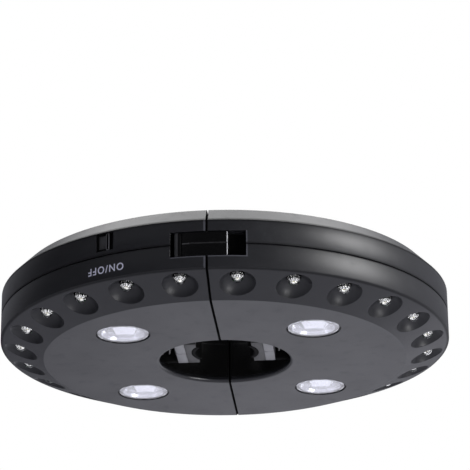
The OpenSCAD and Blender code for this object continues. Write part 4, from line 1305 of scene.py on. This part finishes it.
def batteryDoor(s, side):
    shape = bmesh.new()
    move = toSide(side)
    (left, right), half = s["x"], s["halfLength"]
    nx, ny = round((right - left) / s["step"]), round(2 * half / s["step"])
    xs = [left + (right - left) * i / nx for i in range(nx + 1)]
    ys = [-half + 2 * half * j / ny for j in range(ny + 1)]
    top = [[shape.verts.new(move @ Vector((x, y, doorHeight(s, x, y)))) for y in ys] for x in xs]
    for i in range(nx):
        for j in range(ny):
            shape.faces.new((top[i][j], top[i + 1][j], top[i + 1][j + 1], top[i][j + 1]))
    rim = [top[i][0] for i in range(nx)] + [top[nx][j] for j in range(ny)]
    rim += [top[i][ny] for i in range(nx, 0, -1)] + [top[0][j] for j in range(ny, 0, -1)]
    base = [shape.verts.new((vert.co.x, vert.co.y, s["z"][0])) for vert in rim]
    for k in range(len(rim)):
        n = (k + 1) % len(rim)
        shape.faces.new((rim[k], base[k], base[n], rim[n]))
    shape.faces.new(base)
    lay = move @ Matrix.Translation((left, 0, (s["z"][0] + s["z"][1]) / 2)) @ turnAbout("X", -90)
    r, pin, pinEnd, pinEdge, edge = (s[key] for key in ("barrel", "pin", "pinEnd", "pinEdge", "barrelEdge"))
    upper = [(r, half - edge), (r - edge, half), (pin, half), (pin, pinEnd - pinEdge), (pin - pinEdge, pinEnd)]
    turned(shape, mirrored(upper + [(0, pinEnd)]), 24, lay)
    return meshFrom("batteryDoor", shape, [caseSatin], 40)


onBothSides(("batteryDoors", batteryDoor, doorSettings, "door", "battery_door", "shell"))

# hanging hooks: barrel, shank and open loop, the loop given by its first angle and its sweep
hookSettings = {"pin": (-18, -64, 34.2), "barrel": ((1.5, 6.7), (1.42, 6.92), (1.2, 7), (0, 7)), "barrelSteps": 32,
                "shank": (0.6, 15.5), "shankSteps": 6, "centre": 20, "loop": 5, "angles": (4, 266), "loopSteps": 36,
                "bar": 2.98, "sides": 20, "squareness": 4}


def hangingHook(s, side):
    shape = bmesh.new()
    move = turnAbout("Z", 0 if side == "left" else 180) @ Matrix.Translation(s["pin"])
    turned(shape, mirrored(list(s["barrel"])), s["barrelSteps"], move @ turnAbout("Y", 90))
    (near, far), (first, sweep) = s["shank"], s["angles"]
    count, turns = s["shankSteps"], s["loopSteps"]
    shank = [(0, near + (far - near) * k / count, 0) for k in range(count + 1)]
    loop = [Vector((0, s["centre"], 0)) + polar(s["loop"], first + sweep * k / turns) for k in range(turns + 1)]
    for path in (shank, loop):
        bar(shape, path, s["bar"], s["bar"], around=s["sides"], squareness=s["squareness"], move=move)
    return meshFrom("hangingHook", shape, [caseSatin], 45)


onBothSides(("hangingHooks", hangingHook, hookSettings, "hook", "hook", "shell"))

# the two wires that cross the split below the hinge, each a half circle
wireSettings = {"radius": 5.5, "thick": 1.2, "y": (85.1, 86.9), "z": 12.8, "steps": 28, "sides": 14}


def linkWires(s):
    parts = []
    for y, paint in zip(s["y"], (plains["wireRed"], satins["caseGloss"])):
        shape = bmesh.new()
        angles = [math.pi * k / s["steps"] for k in range(s["steps"] + 1)]
        path = [(s["radius"] * math.cos(a), y, s["z"] - s["radius"] * math.sin(a)) for a in angles]
        bar(shape, path, s["thick"], s["thick"], Vector((0, 1, 0)), s["sides"], 2.0)
        parts.append((meshFrom("linkWire", shape, [paint]), Matrix()))
    return together("linkWires", parts)


wires = link("linkWires", linkWires(wireSettings), None, ("link_wires",))
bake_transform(wires)
print("doors, hooks and wires made")
